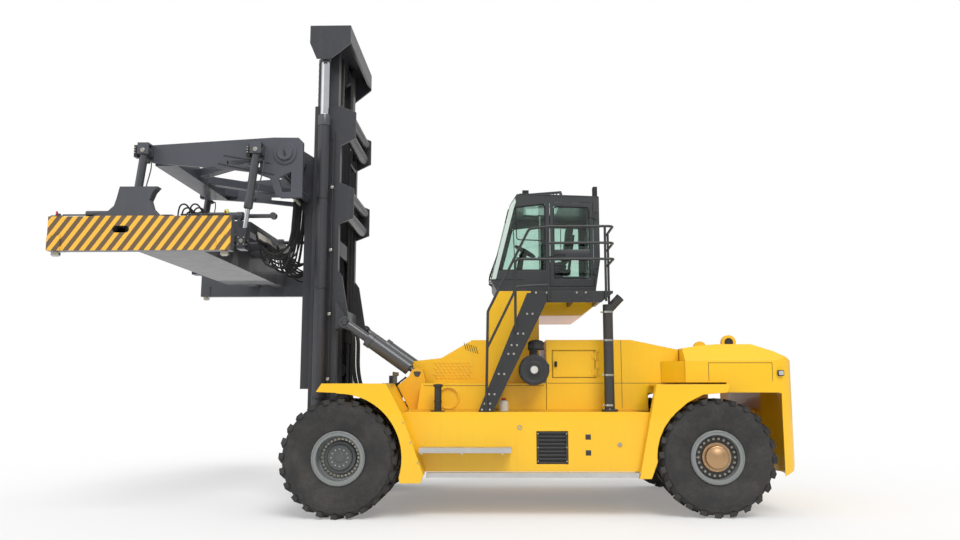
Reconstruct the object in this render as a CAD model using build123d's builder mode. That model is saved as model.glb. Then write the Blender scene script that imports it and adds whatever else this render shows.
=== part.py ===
"""Container handler: a heavy forklift truck with a top-lift container spreader.

Frame: +X forwards, +Y to the left, +Z up, in millimetres, with the origin on the ground
under the middle of the whole machine. Lengths along the truck are measured from the front
axle, and at() turns them into X.
"""

import os
from math import hypot

from build123d import *

os.makedirs("parts", exist_ok=True)

# ---------------------------------------------------------------- driving dimensions
wheelbase = 5240.0
front_reach = 3750.0  # end beams ahead of the front axle
rear_overhang = 1201.0  # counterweight behind the rear axle
running_gap = 0.3  # between a shaft and its bearing, or a piece and its seat
moving_gap = 8.0  # between pieces that pass each other

tyre_radius = 810.0
tyre_width = 490.0
tyre_bead_radius = 330.0
rim_flange_radius = 372.0
rim_wall = 22.0
front_tyre_outer_y = 2130.0
twin_spacing = 585.0
rear_tyre_outer_y = 1925.0
kingpin_y = 1300.0
kingpin_radius = 62.0
steer_clear_radius = 1052.0  # plan circle that a steered tyre sweeps, with its clearance

deck_z = 1430.0
sill_z = 610.0
rail_outer_y = 600.0
rail_inner_y = 500.0
body_half_width = 1800.0
bracket_inner_y = 862.0  # mast foot plates, outside the mast's columns
bracket_wall = 48.0

mast_pivot_x = 450.0
mast_pivot_z = 950.0
mast_pin_radius = 60.0
mast_mid_x = 510.0
outer_web_y = 830.0  # outside of the outer mast's web
inner_web_y = 700.0  # outside of the inner mast's web
column_depth = 420.0
outer_mast_low_z = 300.0
outer_mast_top_z = 6250.0
inner_mast_low_z = 1130.0
inner_mast_top_z = 7490.0
mast_web = 40.0
mast_flange = 45.0
lift_cylinder_x = 545.0
lift_cylinder_y = 932.0
lift_tube_radius = 92.0
lift_rod_radius = 68.0
lift_tube_low_z = 1180.0
lift_tube_top_z = 6060.0
crosshead_half_width = 1115.0
sheave_x = 545.0
sheave_z = 7190.0
sheave_radius = 180.0

tilt_y = 1000.0
tilt_base_x = -985.0
tilt_base_z = 1975.0
tilt_lug_x = 138.0
tilt_lug_z = 2763.0
tilt_tube_radius = 110.0
tilt_rod_radius = 67.0
tilt_pin_radius = 45.0

arm_y = 1262.0  # middle of each lift arm
arm_wall = 70.0
arm_hub_x = 1062.0
arm_hub_z = 5350.0
arm_shaft_radius = 105.0

spreader_x = 2530.0
twistlock_x = 1129.5  # fore and aft of the spreader's middle, for a 2438 mm wide container
twistlock_y = 2926.5  # for a 20 foot container
twistlock_tip_z = 3500.0
end_beam_length = 2450.0
end_beam_low_z = 3570.0
end_beam_top_z = 4030.0
end_beam_width = 140.0
telescope_stroke = 3060.0

cab_half_width = 950.0
cab_floor_z = 3240.0
hood_half_width = 1300.0
hood_top_z = 2471.0
pedestal_half_width = 950.0

front_axle_x = (wheelbase + rear_overhang - front_reach) / 2
rear_axle_x = front_axle_x - wheelbase
sides = {"left": 1, "right": -1}


def at(forward):
    """X of a place measured forwards from the front axle."""
    return front_axle_x + forward


# ---------------------------------------------------------------- shared operations
# Each adds to, or cuts from, the part whose block is open where it is called.


def side_shape(outline, y_low, y_high, mode=Mode.ADD):
    """Carries an outline of (forward, z) points across from y_low to y_high."""
    with BuildSketch(Plane.XZ.offset(-y_high)) as face:
        with BuildLine():
            Polyline(*[(at(forward), z) for forward, z in outline], close=True)
        make_face()
    extrude(face.sketch, amount=y_high - y_low, mode=mode)


def plan_shape(outline, z_low, z_high, mode=Mode.ADD):
    """Carries an outline of (forward, y) points up from z_low to z_high."""
    with BuildSketch(Plane.XY.offset(z_low)) as face:
        with BuildLine():
            Polyline(*[(at(forward), y) for forward, y in outline], close=True)
        make_face()
    extrude(face.sketch, amount=z_high - z_low, mode=mode)


def block(forward, y, z, mode=Mode.ADD):
    """A box from three (low, high) pairs, the first measured from the front axle."""
    middle = (at(sum(forward) / 2), sum(y) / 2, sum(z) / 2)
    with Locations(middle):
        Box(forward[1] - forward[0], y[1] - y[0], z[1] - z[0], mode=mode)


def bar(start, end, radius, mode=Mode.ADD, inner=0.0):
    """A round bar, or a tube with an inner radius, between two (forward, y, z) ends."""
    a = Vector(at(start[0]), start[1], start[2])
    b = Vector(at(end[0]), end[1], end[2])
    with BuildSketch(Plane(origin=a, z_dir=b - a)) as face:
        Circle(radius)
        if inner:
            Circle(inner, mode=Mode.SUBTRACT)
    extrude(face.sketch, amount=(b - a).length, mode=mode)


def cross_bar(forward, z, y_low, y_high, radius, mode=Mode.ADD, inner=0.0):
    """A round bar, or a tube, that lies across the truck."""
    bar((forward, y_low, z), (forward, y_high, z), radius, mode, inner)


def bent_tube(points, radius, bend):
    """A round tube through (forward, y, z) points, with bends of one radius."""
    route = [Vector(at(x), y, z) for x, y, z in points]
    with BuildLine() as line:
        FilletPolyline(*route, radius=bend)
    with BuildSketch(Plane(origin=route[0], z_dir=route[1] - route[0])) as section:
        Circle(radius)
    sweep(section.sketch, path=line.line)


def turned(profile, plane, axis):
    """Turns an outline of points on the plane about the axis."""
    with BuildSketch(plane) as face:
        with BuildLine():
            Polyline(*profile, close=True)
        make_face()
    revolve(face.sketch, axis=axis)


hinge_pin_radius = 8.0
hinge_barrel_radius = 15.0
hinge_stand = 16.0  # from the wall's face to the hinge pin


def hinge_fixed(forward, side, face_y, low):
    """The fixed half of a hinge: a pin on a lug, on a wall's outer face."""
    y = side * (face_y + hinge_stand)
    bar((forward, y, low), (forward, y, low + 90), hinge_pin_radius)
    for start in (low - 20, low + 90):
        bar((forward, y, start), (forward, y, start + 20), hinge_barrel_radius)
        block((forward - 45, forward), span(side, face_y, face_y + hinge_stand),
              (start, start + 20))


def hinge_moving(forward, side, face_y, low):
    """The door's half: a barrel round the pin, with a leaf on the door's face."""
    y = side * (face_y + hinge_stand)
    block((forward, forward + 60), span(side, face_y, face_y + 9), (low + 1, low + 89))
    bar((forward, y, low + 1), (forward, y, low + 89), hinge_barrel_radius)
    bar((forward, y, low), (forward, y, low + 90), hinge_pin_radius + running_gap,
        Mode.SUBTRACT)


def save(piece, name):
    """Labels a finished piece and writes its file."""
    piece.part.label = name
    export_step(piece.part, f"parts/{name}.step")


# ---------------------------------------------------------------- wheels
# Each tyre is turned about its axle. Across it: half widths at the tread, the widest
# stretch of the sidewall and the bead.
tyre_shoulder = 60.0
bead_half_width = 185.0
lug_count = 24  # on each side of the tread
lug_height = 34.0
lug_width = 84.0
lug_length = 200.0
lug_lean = 24.0  # degrees, so that the two sides make a vee


tread_radius = tyre_radius - lug_height
tread = tyre_width / 2 - tyre_shoulder
half_tyre = tyre_width / 2
side_middle = (tyre_radius + rim_flange_radius) / 2
tyre_profile = [
    (bead_half_width, tyre_bead_radius),
    (bead_half_width, rim_flange_radius),
    (half_tyre - 12, side_middle - 60),
    (half_tyre, side_middle + 60),
    (half_tyre - 8, tyre_radius - tyre_shoulder - 20),
    (tread, tread_radius),
]

with BuildPart() as lug_ring:
    wheel_axis = Axis((0, 0, 0), (0, 1, 0))
    for row in (1, -1):
        first = Location((0, 0, 0), (0, 90 + (1 - row) * 90 / lug_count, 0))
        for index in range(lug_count):
            turn = Location((0, 0, 0), (0, index * 360 / lug_count, 0))
            seat = Location((tyre_radius - lug_height, row * (tyre_width - lug_length) / 2, 0),
                            (row * lug_lean, 0, 0))
            with Locations(first * turn * seat):
                Box(2 * lug_height, lug_length, lug_width)

with BuildPart() as master_tyre:
    across = tyre_profile + [(-y, radius) for y, radius in reversed(tyre_profile)]
    turned(across, Plane(origin=(0, 0, 0), x_dir=(0, 1, 0), z_dir=(1, 0, 0)), wheel_axis)
    add(lug_ring.part)


def tyre(axle_x, middle_y):
    """One tyre, with its lugs, about the wheel's axle."""
    with Locations((axle_x, middle_y, tyre_radius)):
        add(master_tyre.part)


def wheel_ring(axle_x, outer, inner, y_low, y_high, mode=Mode.ADD):
    """A ring or disc about the wheel's axle, between two y values."""
    start = Vector(axle_x, y_high, tyre_radius)
    with BuildSketch(Plane(origin=start, x_dir=(1, 0, 0), z_dir=(0, -1, 0))) as face:
        Circle(outer)
        if inner:
            Circle(inner, mode=Mode.SUBTRACT)
    extrude(face.sketch, amount=y_high - y_low, mode=mode)


rim_barrel = tyre_bead_radius - running_gap
flange_wall = 18.0
front_spindle_radius = 120.0
rear_spindle_radius = 90.0
front_hub_radius = 215.0
rear_cap_radius = 155.0
nut_ring_radius = 255.0
nut_radius = 16.0
front_tyre_y = [
    front_tyre_outer_y - tyre_width / 2,
    front_tyre_outer_y - tyre_width / 2 - twin_spacing,
]
rear_tyre_y = rear_tyre_outer_y - tyre_width / 2


def span(side, y_near, y_far):
    """Low and high y of a stretch given from the inside out, on the left or right."""
    return tuple(sorted((side * y_near, side * y_far)))


def rim_shell(axle_x, side, tyre_y):
    """A rim's barrel and its two flanges, round one tyre."""
    edge = bead_half_width + running_gap
    wheel_ring(axle_x, rim_barrel, rim_barrel - rim_wall,
               *span(side, tyre_y - edge, tyre_y + edge))
    for near, far in ((tyre_y - edge - flange_wall, tyre_y - edge),
                      (tyre_y + edge, tyre_y + edge + flange_wall)):
        wheel_ring(axle_x, rim_flange_radius, rim_barrel - rim_wall,
                   *span(side, near, far))


def nut_circle(axle_x, side, y_seat, count, height):
    """A ring of wheel nuts standing out of a disc."""
    plane = Plane(origin=(axle_x, side * y_seat, tyre_radius), x_dir=(1, 0, 0),
                  z_dir=(0, side, 0))
    with BuildSketch(plane) as face:
        with PolarLocations(nut_ring_radius, count):
            RegularPolygon(nut_radius, 6)
    extrude(face.sketch, amount=height)


for side_name, side in sides.items():
    with BuildPart() as front_tyres:
        for tyre_y in front_tyre_y:
            tyre(front_axle_x, side * tyre_y)
    save(front_tyres, f"front_{side_name}_tyres")

    # The outer disc carries the nuts, and a drum reaches in to the inner rim.
    disc_y = front_tyre_y[0] - 60
    with BuildPart() as front_rims:
        for tyre_y in front_tyre_y:
            rim_shell(front_axle_x, side, tyre_y)
        wheel_ring(front_axle_x, rim_barrel - 2, front_spindle_radius + running_gap,
                   *span(side, disc_y, disc_y + 40))
        wheel_ring(front_axle_x, rim_barrel - 2, rim_barrel - 40,
                   *span(side, front_tyre_y[1], front_tyre_y[0]))
        wheel_ring(front_axle_x, front_hub_radius, front_spindle_radius + running_gap,
                   *span(side, disc_y - 380, disc_y + 95))
        wheel_ring(front_axle_x, front_hub_radius - 45, 0,
                   *span(side, disc_y + 95, disc_y + 120))
        nut_circle(front_axle_x, side, disc_y + 40, 30, 30)
    save(front_rims, f"front_{side_name}_rims")

    with BuildPart() as rear_tyre:
        tyre(rear_axle_x, side * rear_tyre_y)
    save(rear_tyre, f"rear_{side_name}_tyre")

    rear_disc_y = rear_tyre_y + 60
    with BuildPart() as rear_rim:
        rim_shell(rear_axle_x, side, rear_tyre_y)
        wheel_ring(rear_axle_x, rim_barrel - 2, rear_spindle_radius + running_gap,
                   *span(side, rear_disc_y, rear_disc_y + 36))
        wheel_ring(rear_axle_x, rear_cap_radius + 45, rear_spindle_radius + running_gap,
                   *span(side, rear_disc_y - 170, rear_disc_y + 70))
        wheel_ring(rear_axle_x, rear_cap_radius, 0,
                   *span(side, rear_disc_y + 70, rear_disc_y + 130))
        nut_circle(rear_axle_x, side, rear_disc_y + 36, 22, 30)
    save(rear_rim, f"rear_{side_name}_rim")

# ---------------------------------------------------------------- drive axle
axle_tube_radius = 190.0
brake_radius = 278.0
differential_radius = 235.0
front_hub_inner_y = front_tyre_y[0] - 60 - 380
with BuildPart() as drive_axle:
    cross_bar(0, tyre_radius, -1080, 1080, axle_tube_radius)
    cross_bar(0, tyre_radius, -240, 240, differential_radius)
    chamfer(drive_axle.edges().filter_by(GeomType.CIRCLE).sort_by(
        lambda edge: edge.radius)[-2:], 40)
    for side in sides.values():
        cross_bar(0, tyre_radius, *span(side, 1080, front_hub_inner_y - 20), brake_radius)
        cross_bar(0, tyre_radius, *span(side, front_hub_inner_y - 20, 1912),
                  front_spindle_radius)
save(drive_axle, "drive_axle")

# ---------------------------------------------------------------- steer axle and knuckles
axle_beam_low_z = 670.0
axle_beam_top_z = 950.0
ear_wall = 80.0
ear_radius = 108.0
knuckle_radius = 98.0
trunnion_radius = 95.0
trunnion_reach = 430.0
rear_x = -wheelbase
with BuildPart() as steer_axle:
    plan_shape([(rear_x - 170, -1180), (rear_x + 170, -1180),
                (rear_x + 170, 1180), (rear_x - 170, 1180)],
               axle_beam_low_z, axle_beam_top_z)
    for side in sides.values():
        for low in (axle_beam_low_z - ear_wall, axle_beam_top_z):
            plan_shape([(rear_x - 150, side * 1000), (rear_x + 150, side * 1000),
                        (rear_x + ear_radius, side * kingpin_y),
                        (rear_x - ear_radius, side * kingpin_y)], low, low + ear_wall)
            bar((rear_x, side * kingpin_y, low), (rear_x, side * kingpin_y, low + ear_wall),
                ear_radius)
        bar((rear_x, side * kingpin_y, axle_beam_low_z - ear_wall),
            (rear_x, side * kingpin_y, axle_beam_top_z + ear_wall), kingpin_radius)
        # Half of the double-ended steering cylinder, and the lug that carries it.
        cross_bar(rear_x - 300, tyre_radius, *span(side, 0, 420), 82)
        cross_bar(rear_x - 300, tyre_radius, *span(side, 420, 700), 42)
        block((rear_x - 300, rear_x - 150), span(side, 330, 390), (760, 860))
    bar((rear_x - trunnion_reach, 0, tyre_radius), (rear_x + trunnion_reach, 0, tyre_radius),
        trunnion_radius)
save(steer_axle, "steer_axle")

knuckle_low_z = axle_beam_low_z + moving_gap
knuckle_top_z = axle_beam_top_z - moving_gap
for side_name, side in sides.items():
    with BuildPart() as knuckle:
        bar((rear_x, side * kingpin_y, knuckle_low_z),
            (rear_x, side * kingpin_y, knuckle_top_z), knuckle_radius)
        cross_bar(rear_x, tyre_radius, *span(side, kingpin_y, 1560), 132)
        cross_bar(rear_x, tyre_radius, *span(side, 1560, 1802), rear_spindle_radius)
        bar((rear_x, side * kingpin_y, knuckle_low_z - 1),
            (rear_x, side * kingpin_y, knuckle_top_z + 1), kingpin_radius + running_gap,
            Mode.SUBTRACT)
    save(knuckle, f"steer_knuckle_{side_name}")

# ---------------------------------------------------------------- chassis frame
rail_low_z = 700.0
deck_wall = 20.0
deck_top_z = deck_z + deck_wall
rail_front = 170.0
rail_rear = rear_x - 940.0
frame_cross = -740.0
deck_front = -880.0
axle_notch = axle_tube_radius + running_gap
bracket_outer_y = bracket_inner_y + bracket_wall

# Above the deck a steered tyre is narrower in plan: half its chord there, and its outer
# side's distance from the kingpin.
chord_half = (tyre_radius ** 2 - (deck_z - tyre_radius) ** 2) ** 0.5
steered_clearance = 25.0
upper_sweep_radius = hypot(chord_half, rear_tyre_outer_y - kingpin_y) + steered_clearance
sweep_top_z = 2 * tyre_radius + 70


def steered_sweep(side):
    """Cuts the room that a steered tyre sweeps above the deck's underside."""
    with BuildSketch(Plane.XY.offset(deck_z - 1)) as plan:
        with Locations((at(rear_x), side * kingpin_y)):
            Circle(upper_sweep_radius)
        low, high = span(side, rail_outer_y + 40 - 2000, rail_outer_y + 40)
        with Locations((at(rear_x), (low + high) / 2)):
            Rectangle(3000, high - low, mode=Mode.SUBTRACT)
    extrude(plan.sketch, amount=sweep_top_z - deck_z, mode=Mode.SUBTRACT)


with BuildPart() as chassis_frame:
    for side in sides.values():
        side_shape([(rail_front, rail_low_z), (rail_front, deck_z), (rail_rear, deck_z),
                    (rail_rear, rail_low_z), (rear_x - 560, rail_low_z),
                    (rear_x - 410, 1060), (rear_x + 410, 1060),
                    (rear_x + 560, rail_low_z)],
                   *span(side, rail_inner_y, rail_outer_y))
        # Outriggers that carry the side tanks.
        for forward in (-900, -1700, -2500, -3300, rear_x + 1200):
            block((forward - 60, forward + 60), span(side, rail_outer_y, 700),
                  (800, deck_z - 40))
        # Cheeks and pin that carry the tilt cylinder's base.
        for near, far in ((tilt_y - 85, tilt_y - 45), (tilt_y + 45, tilt_y + 85)):
            side_shape([(-880, deck_z), (-690, 1800), (-860, 1945), (-905, 2040),
                        (tilt_base_x, 2065), (-1070, 2040), (-1215, deck_z)],
                       *span(side, near, far))
        cross_bar(tilt_base_x, tilt_base_z, *span(side, tilt_y - 85, tilt_y + 85),
                  tilt_pin_radius)
    # Boxes across the frame, behind the drive axle and round the steer axle.
    block((frame_cross - 80, frame_cross), (-bracket_outer_y, bracket_outer_y),
          (rail_low_z, deck_z))
    block((-420, -340), (-bracket_inner_y, bracket_inner_y), (rail_low_z, 1300))
    for low, high in ((rear_x + trunnion_reach, rear_x + trunnion_reach + 90),
                      (rear_x - trunnion_reach - 90, rear_x - trunnion_reach)):
        block((low, high), (-rail_inner_y, rail_inner_y), (rail_low_z, deck_z))
    block((rail_rear, rail_rear + 60), (-rail_inner_y, rail_inner_y), (rail_low_z, deck_z))
    block((-2760, -2700), (-rail_inner_y, rail_inner_y), (rail_low_z, deck_z))
    # Deck plate, open over the engine.
    block((rear_x + 372, deck_front), (-1310, 1310), (deck_z, deck_top_z))
    block((rear_x + 460, -2950), (-470, 470), (deck_z, deck_top_z), Mode.SUBTRACT)
    cross_bar(0, tyre_radius, -1000, 1000, axle_notch, Mode.SUBTRACT)
    for side in sides.values():
        block((-axle_notch, axle_notch), span(side, 480, 1000), (500, tyre_radius),
              Mode.SUBTRACT)
        steered_sweep(side)
save(chassis_frame, "chassis_frame")

# Foot plates, from the cross box past the drive axle to the mast's hinge pins.
with BuildPart() as mast_feet:
    for side in sides.values():
        side_shape([(frame_cross, rail_low_z), (frame_cross, deck_z), (100, deck_z),
                    (330, 1110), (mast_pivot_x, 1065), (mast_pivot_x + 100, 1020),
                    (mast_pivot_x + 118, 860), (mast_pivot_x, 790),
                    (330, rail_low_z - 60)],
                   *span(side, bracket_inner_y, bracket_outer_y))
        cross_bar(mast_pivot_x, mast_pivot_z,
                  *span(side, outer_web_y - mast_web + 2, bracket_outer_y + 30),
                  mast_pin_radius)
        cross_bar(0, tyre_radius, *span(side, 800, 1000), axle_notch, Mode.SUBTRACT)
        block((-axle_notch, axle_notch), span(side, 800, 1000), (500, tyre_radius),
              Mode.SUBTRACT)
save(mast_feet, "mast_feet")

# ---------------------------------------------------------------- side tanks and steps
leg_low = (rear_x + 1090.0, 524.0)  # front edge of the rear fender's leg
leg_top = (rear_x + 825.0, 1817.0)


def leg_x(z):
    """Where the front edge of the rear fender's leg is at a height."""
    return leg_low[0] + (leg_top[0] - leg_low[0]) * (z - leg_low[1]) / (
        leg_top[1] - leg_low[1])



def steered_room(side):
    """Cuts the room that a steered tyre sweeps about its kingpin, at every height."""
    profile = [(0, -10)]
    for step in range(13):
        height = tyre_radius * (1 + (step - 6) / 6)
        chord = max(tyre_radius ** 2 - (height - tyre_radius) ** 2, 0) ** 0.5
        reach = hypot(chord, rear_tyre_outer_y - kingpin_y) + steered_clearance
        profile.append((reach, height))
    profile += [(profile[-1][0], 2 * tyre_radius + steered_clearance),
                (0, 2 * tyre_radius + steered_clearance)]
    kingpin = (at(rear_x), side * kingpin_y, 0)
    with BuildSketch(Plane(origin=kingpin, x_dir=(1, 0, 0), z_dir=(0, -1, 0))) as face:
        with BuildLine():
            Polyline(*profile, close=True)
        make_face()
    revolve(face.sketch, axis=Axis(kingpin, (0, 0, 1)), mode=Mode.SUBTRACT)


tank_front = [(-826.0, deck_z), (-1062.0, sill_z)]


def steering_well(side, outer_y):
    """Cuts the room that a steered tyre sweeps, out to a named y."""
    with BuildSketch(Plane.XY) as plan:
        with Locations((at(rear_x), side * kingpin_y)):
            Circle(steer_clear_radius)
        low, high = span(side, outer_y, 2600)
        with Locations((at(rear_x), (low + high) / 2)):
            Rectangle(3000, high - low, mode=Mode.SUBTRACT)
    extrude(plan.sketch, amount=sweep_top_z, mode=Mode.SUBTRACT)


with BuildPart() as side_tanks:
    for side in sides.values():
        side_shape([tank_front[0], tank_front[1], (leg_x(sill_z), sill_z),
                    (leg_x(deck_z), deck_z)], *span(side, 700, body_half_width))
        steering_well(side, body_half_width - 25)
        side_shape([(-852, deck_z - 20), (-1078, sill_z + 20),
                    (rear_x + 1290, sill_z + 20), (rear_x + 1290, deck_z - 20)],
                   *span(side, 720, body_half_width - 80), Mode.SUBTRACT)
        # Rounded step pockets and the grille's recess are cut from the outer face.
        block((-3182, -2738), span(side, body_half_width - 60, body_half_width + 1),
              (712, 1166), Mode.SUBTRACT)
save(side_tanks, "side_tanks")

with BuildPart() as side_grilles:
    for side in sides.values():
        block((-3172, -2748), span(side, body_half_width - 60, body_half_width - 45),
              (722, 1156))
        for low, high in ((-3172, -3150), (-2770, -2748)):
            block((low, high), span(side, body_half_width - 45, body_half_width + 6),
                  (722, 1156))
        for index in range(9):
            z = 722 + index * 51.5
            block((-3150, -2770), span(side, body_half_width - 45, body_half_width - 6),
                  (z, z + 22))
save(side_grilles, "side_grilles")

with BuildPart() as side_steps:
    for side in sides.values():
        block((-2384, -1110), span(side, body_half_width, body_half_width + 260),
              (883, 951))
        block((-2344, -1150), span(side, body_half_width + 30, body_half_width + 230),
              (882, 917), Mode.SUBTRACT)
        block((rear_x + 1096, -1200), span(side, body_half_width, body_half_width + 110),
              (sill_z - 73, sill_z - 6))
        for forward in (-1150, -1700, -2260):
            block((forward - 12, forward + 12),
                  span(side, body_half_width, body_half_width + 240), (860, 918))
save(side_steps, "side_steps")

# ---------------------------------------------------------------- fenders
front_arch_radius = tyre_radius + 70
fender_seat_y = body_half_width - 12  # inside of the rear fender's leg
front_top_z = 2 * tyre_radius + 211
rear_top_z = 2 * tyre_radius + 197
front_skin = [(319, 1714), (240, front_top_z), (-651, front_top_z), (-878, 1413), (-1182, 589),
              (-1139, 483), (-857, 482), (-834, 631), (-808, 907), (-649, 1250), (-380, 1552),
              (-145, 1661), (65, 1704)]
front_roof = [(240, front_top_z), (-651, front_top_z), (-868, deck_z + 2), (-845, deck_z + 2),
              (-640, front_top_z - 22), (240, front_top_z - 22)]
rear_skin = [leg_low, leg_top, (rear_x - 190, rear_top_z), (rear_x - 190, 1764),
             (rear_x - 154, 1701), (rear_x + 177, 1674), (rear_x + 401, 1564),
             (rear_x + 583, 1410), (rear_x + 926, 524)]
with BuildPart() as fenders:
    for side in sides.values():
        outer = front_tyre_outer_y
        # Front: side skin, then the roof plate and the leg behind the tyres.
        side_shape(front_skin, *span(side, outer - 40, outer))
        side_shape(front_roof, *span(side, 1100, outer - 40))
        side_shape([(-868, deck_z + 2), (-878, 1413), (-1182, 589), (-1155, 589),
                    (-854, 1404), (-845, deck_z + 2)],
                   *span(side, body_half_width, outer - 40))
        side_shape([(240, front_top_z), (319, 1714), (296, 1714), (217, front_top_z - 22)],
                   *span(side, 1100, outer - 40))
        # Rear: an arched leg and lip beside the steered tyre.
        side_shape(rear_skin, *span(side, fender_seat_y, rear_tyre_outer_y))
        side_shape([leg_top, (leg_top[0], leg_top[1] - 22), (rear_x - 190, rear_top_z - 25),
                    (rear_x - 190, rear_top_z)], *span(side, 1320, fender_seat_y))
    cross_bar(0, tyre_radius, -2200, 2200, front_arch_radius, Mode.SUBTRACT)
    for side in sides.values():
        steered_room(side)
save(fenders, "fenders")

# ---------------------------------------------------------------- counterweight
counterweight_half_width = 1700.0
counterweight_low_z = 1842.0
counterweight_top_z = 2396.0
counterweight_corner = 320.0
counterweight_front = rear_x + 370
ear_x = rear_x - 460
with BuildPart() as counterweight:
    half = counterweight_half_width
    # Side outline, from the front face over the top and down the tail.
    side_shape([(counterweight_front, counterweight_low_z), (counterweight_front, 2335),
                (rear_x + 100, counterweight_top_z - 20), (rear_x - 150, counterweight_top_z),
                (rear_x - 645, counterweight_top_z), (rear_x - 934, 2287), (rear_x - 1189, 2144),
                (rear_x - 1201, 1812), (rear_x - 1201, 750), (rear_x - 1144, 605),
                (rear_x - 970, 535), (rail_rear, 535), (rail_rear, 1700), (rear_x - 205, 1700),
                (rear_x - 205, counterweight_low_z)], -half, half)
    with BuildSketch(Plane.XY.offset(400)) as plan:
        with Locations((at(rear_x + 370 - 1571 / 2), 0)):
            Rectangle(1571, 2 * half)
        fillet(plan.vertices().group_by(Axis.X)[0], counterweight_corner)
    extrude(plan.sketch, amount=2200, mode=Mode.INTERSECT)
    # A broad slope along each top edge.
    for side in sides.values():
        with BuildSketch(Plane.YZ.offset(at(rear_x - 1400))) as slope:
            with BuildLine():
                Polyline((side * (half - 250), counterweight_top_z + 40),
                         (side * (half - 250), counterweight_top_z + 8),
                         (side * (half + 20), 2136),
                         (side * (half + 20), counterweight_top_z + 40), close=True)
            make_face()
        extrude(slope.sketch, amount=2000, mode=Mode.SUBTRACT)
    # Middle part between the steered tyres, and the fairings towards the hood.
    for side in sides.values():
        plan_shape([(rear_x + 640, side * (hood_half_width + moving_gap)),
                    (rear_x + 360, side * (half - 20)),
                    (rear_x + 360, side * (hood_half_width + moving_gap))],
                   counterweight_low_z, 2150)
        steering_well(side, 2200)
        for low, high in ((880, 920), (940, 960)):
            cross_bar(ear_x, 2448, *span(side, low, high), 108)
        block((ear_x - 30, ear_x + 30), span(side, 880, 960),
              (counterweight_top_z - 40, 2448))
    block((rear_x - 206, rear_x + 368), (-rail_outer_y, rail_outer_y),
          (deck_top_z + running_gap, counterweight_low_z + 1))
save(counterweight, "counterweight")

# ---------------------------------------------------------------- hood, cowl and engine
panel = 30.0
hood_rear = rear_x + 378
body_side_y = hood_half_width - 10  # lower body beside the cowl and the pedestal
body_top_z = 1835.0
hood_outline = [(-2916, deck_top_z), (-2916, hood_top_z), (hood_rear + 705, hood_top_z),
                (hood_rear, 2323), (hood_rear, deck_top_z)]
hood_inner = [(-2946, deck_top_z), (-2946, hood_top_z - panel),
              (hood_rear + 702, hood_top_z - panel), (hood_rear + panel, 2299),
              (hood_rear + panel, deck_top_z)]
hood_hinges = (1950.0, 2190.0)
hood_door = ((-3640.0, -3000.0), (1910.0, 2320.0))  # forward and z of the door opening
with BuildPart() as engine_hood:
    side_shape(hood_outline, -hood_half_width, hood_half_width)
    side_shape(hood_inner, -hood_half_width + panel, hood_half_width - panel, Mode.SUBTRACT)
    for side in sides.values():
        block(hood_door[0], span(side, hood_half_width - panel - 1, hood_half_width + 1),
              hood_door[1], Mode.SUBTRACT)
        for low in hood_hinges:
            hinge_fixed(hood_door[0][0] - 6, side, hood_half_width, low)
        steered_sweep(side)
    # Front cowl, ahead of the cab's pedestal.
    side_shape([(-900, deck_top_z), (-900, 2173), (-1330, 2219), (-1805, 2494),
                (-2046, 2494), (-2046, deck_top_z)], -860, 860)
    side_shape([(-930, deck_top_z), (-930, 2146), (-1322, 2188), (-1797, 2464),
                (-2016, 2464), (-2016, deck_top_z)], -830, 830, Mode.SUBTRACT)
    # Body sides, with a round dish in each.
    for side in sides.values():
        side_shape([(-1010, deck_top_z), (-1060, body_top_z), (-2910, body_top_z),
                    (-2910, deck_top_z)], *span(side, 1100, body_side_y))
        side_shape([(-1042, deck_top_z), (-1090, body_top_z - panel),
                    (-2880, body_top_z - panel), (-2880, deck_top_z)],
                   *span(side, 1130, body_side_y - panel), Mode.SUBTRACT)
        block((-2910, -1230), span(side, pedestal_half_width + moving_gap, 1101),
              (body_top_z - panel, body_top_z))
        block((-2042, -1230), span(side, 868, pedestal_half_width + moving_gap + 1),
              (body_top_z - panel, body_top_z))
        cross_bar(-1470, 1622, *span(side, body_side_y - panel, body_side_y + 18), 165,
                  inner=144)
        cross_bar(-1470, 1622, *span(side, body_side_y - panel / 2, body_side_y + 1), 144,
                  Mode.SUBTRACT)
save(engine_hood, "engine_hood")

for side_name, side in sides.items():
    (back, front), (low, high) = hood_door
    with BuildPart() as door:
        block((back + moving_gap, front - moving_gap),
              span(side, hood_half_width - panel, hood_half_width),
              (low + moving_gap, high - moving_gap))
        block((front - 70, front - 40), span(side, hood_half_width, hood_half_width + 22),
              (2080, 2150))
        for hinge_low in hood_hinges:
            hinge_moving(back - 6, side, hood_half_width, hinge_low)
    save(door, f"hood_door_{side_name}")

with BuildPart() as engine_block:
    block((rear_x + 1060, -2980), (-430, 430), (850, 1980))
    block((rear_x + 620, rear_x + 1061), (-400, 400), (820, 1500))
    for side in sides.values():
        block((rear_x + 1240, rear_x + 1340), span(side, 430, rail_inner_y), (900, 1100))
        block((-3260, -3160), span(side, 430, rail_inner_y), (900, 1100))
save(engine_block, "engine_block")

# ---------------------------------------------------------------- exhaust and air cleaner
exhaust_x, exhaust_y, exhaust_radius = rear_x + 1435.0, 1550.0, 72.0
with BuildPart() as exhaust_stack:
    bar((exhaust_x, exhaust_y, deck_z), (exhaust_x, exhaust_y, 2970), exhaust_radius)
    bar((exhaust_x, exhaust_y, deck_z), (exhaust_x, exhaust_y, deck_z + 30),
        exhaust_radius + 45)
    bar((exhaust_x, exhaust_y, 2880), (exhaust_x - 185, exhaust_y, 3075),
        exhaust_radius - 8)
    cross_bar(exhaust_x, 1700, hood_half_width, exhaust_y - exhaust_radius + 5, 40)
save(exhaust_stack, "exhaust_stack")

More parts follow.
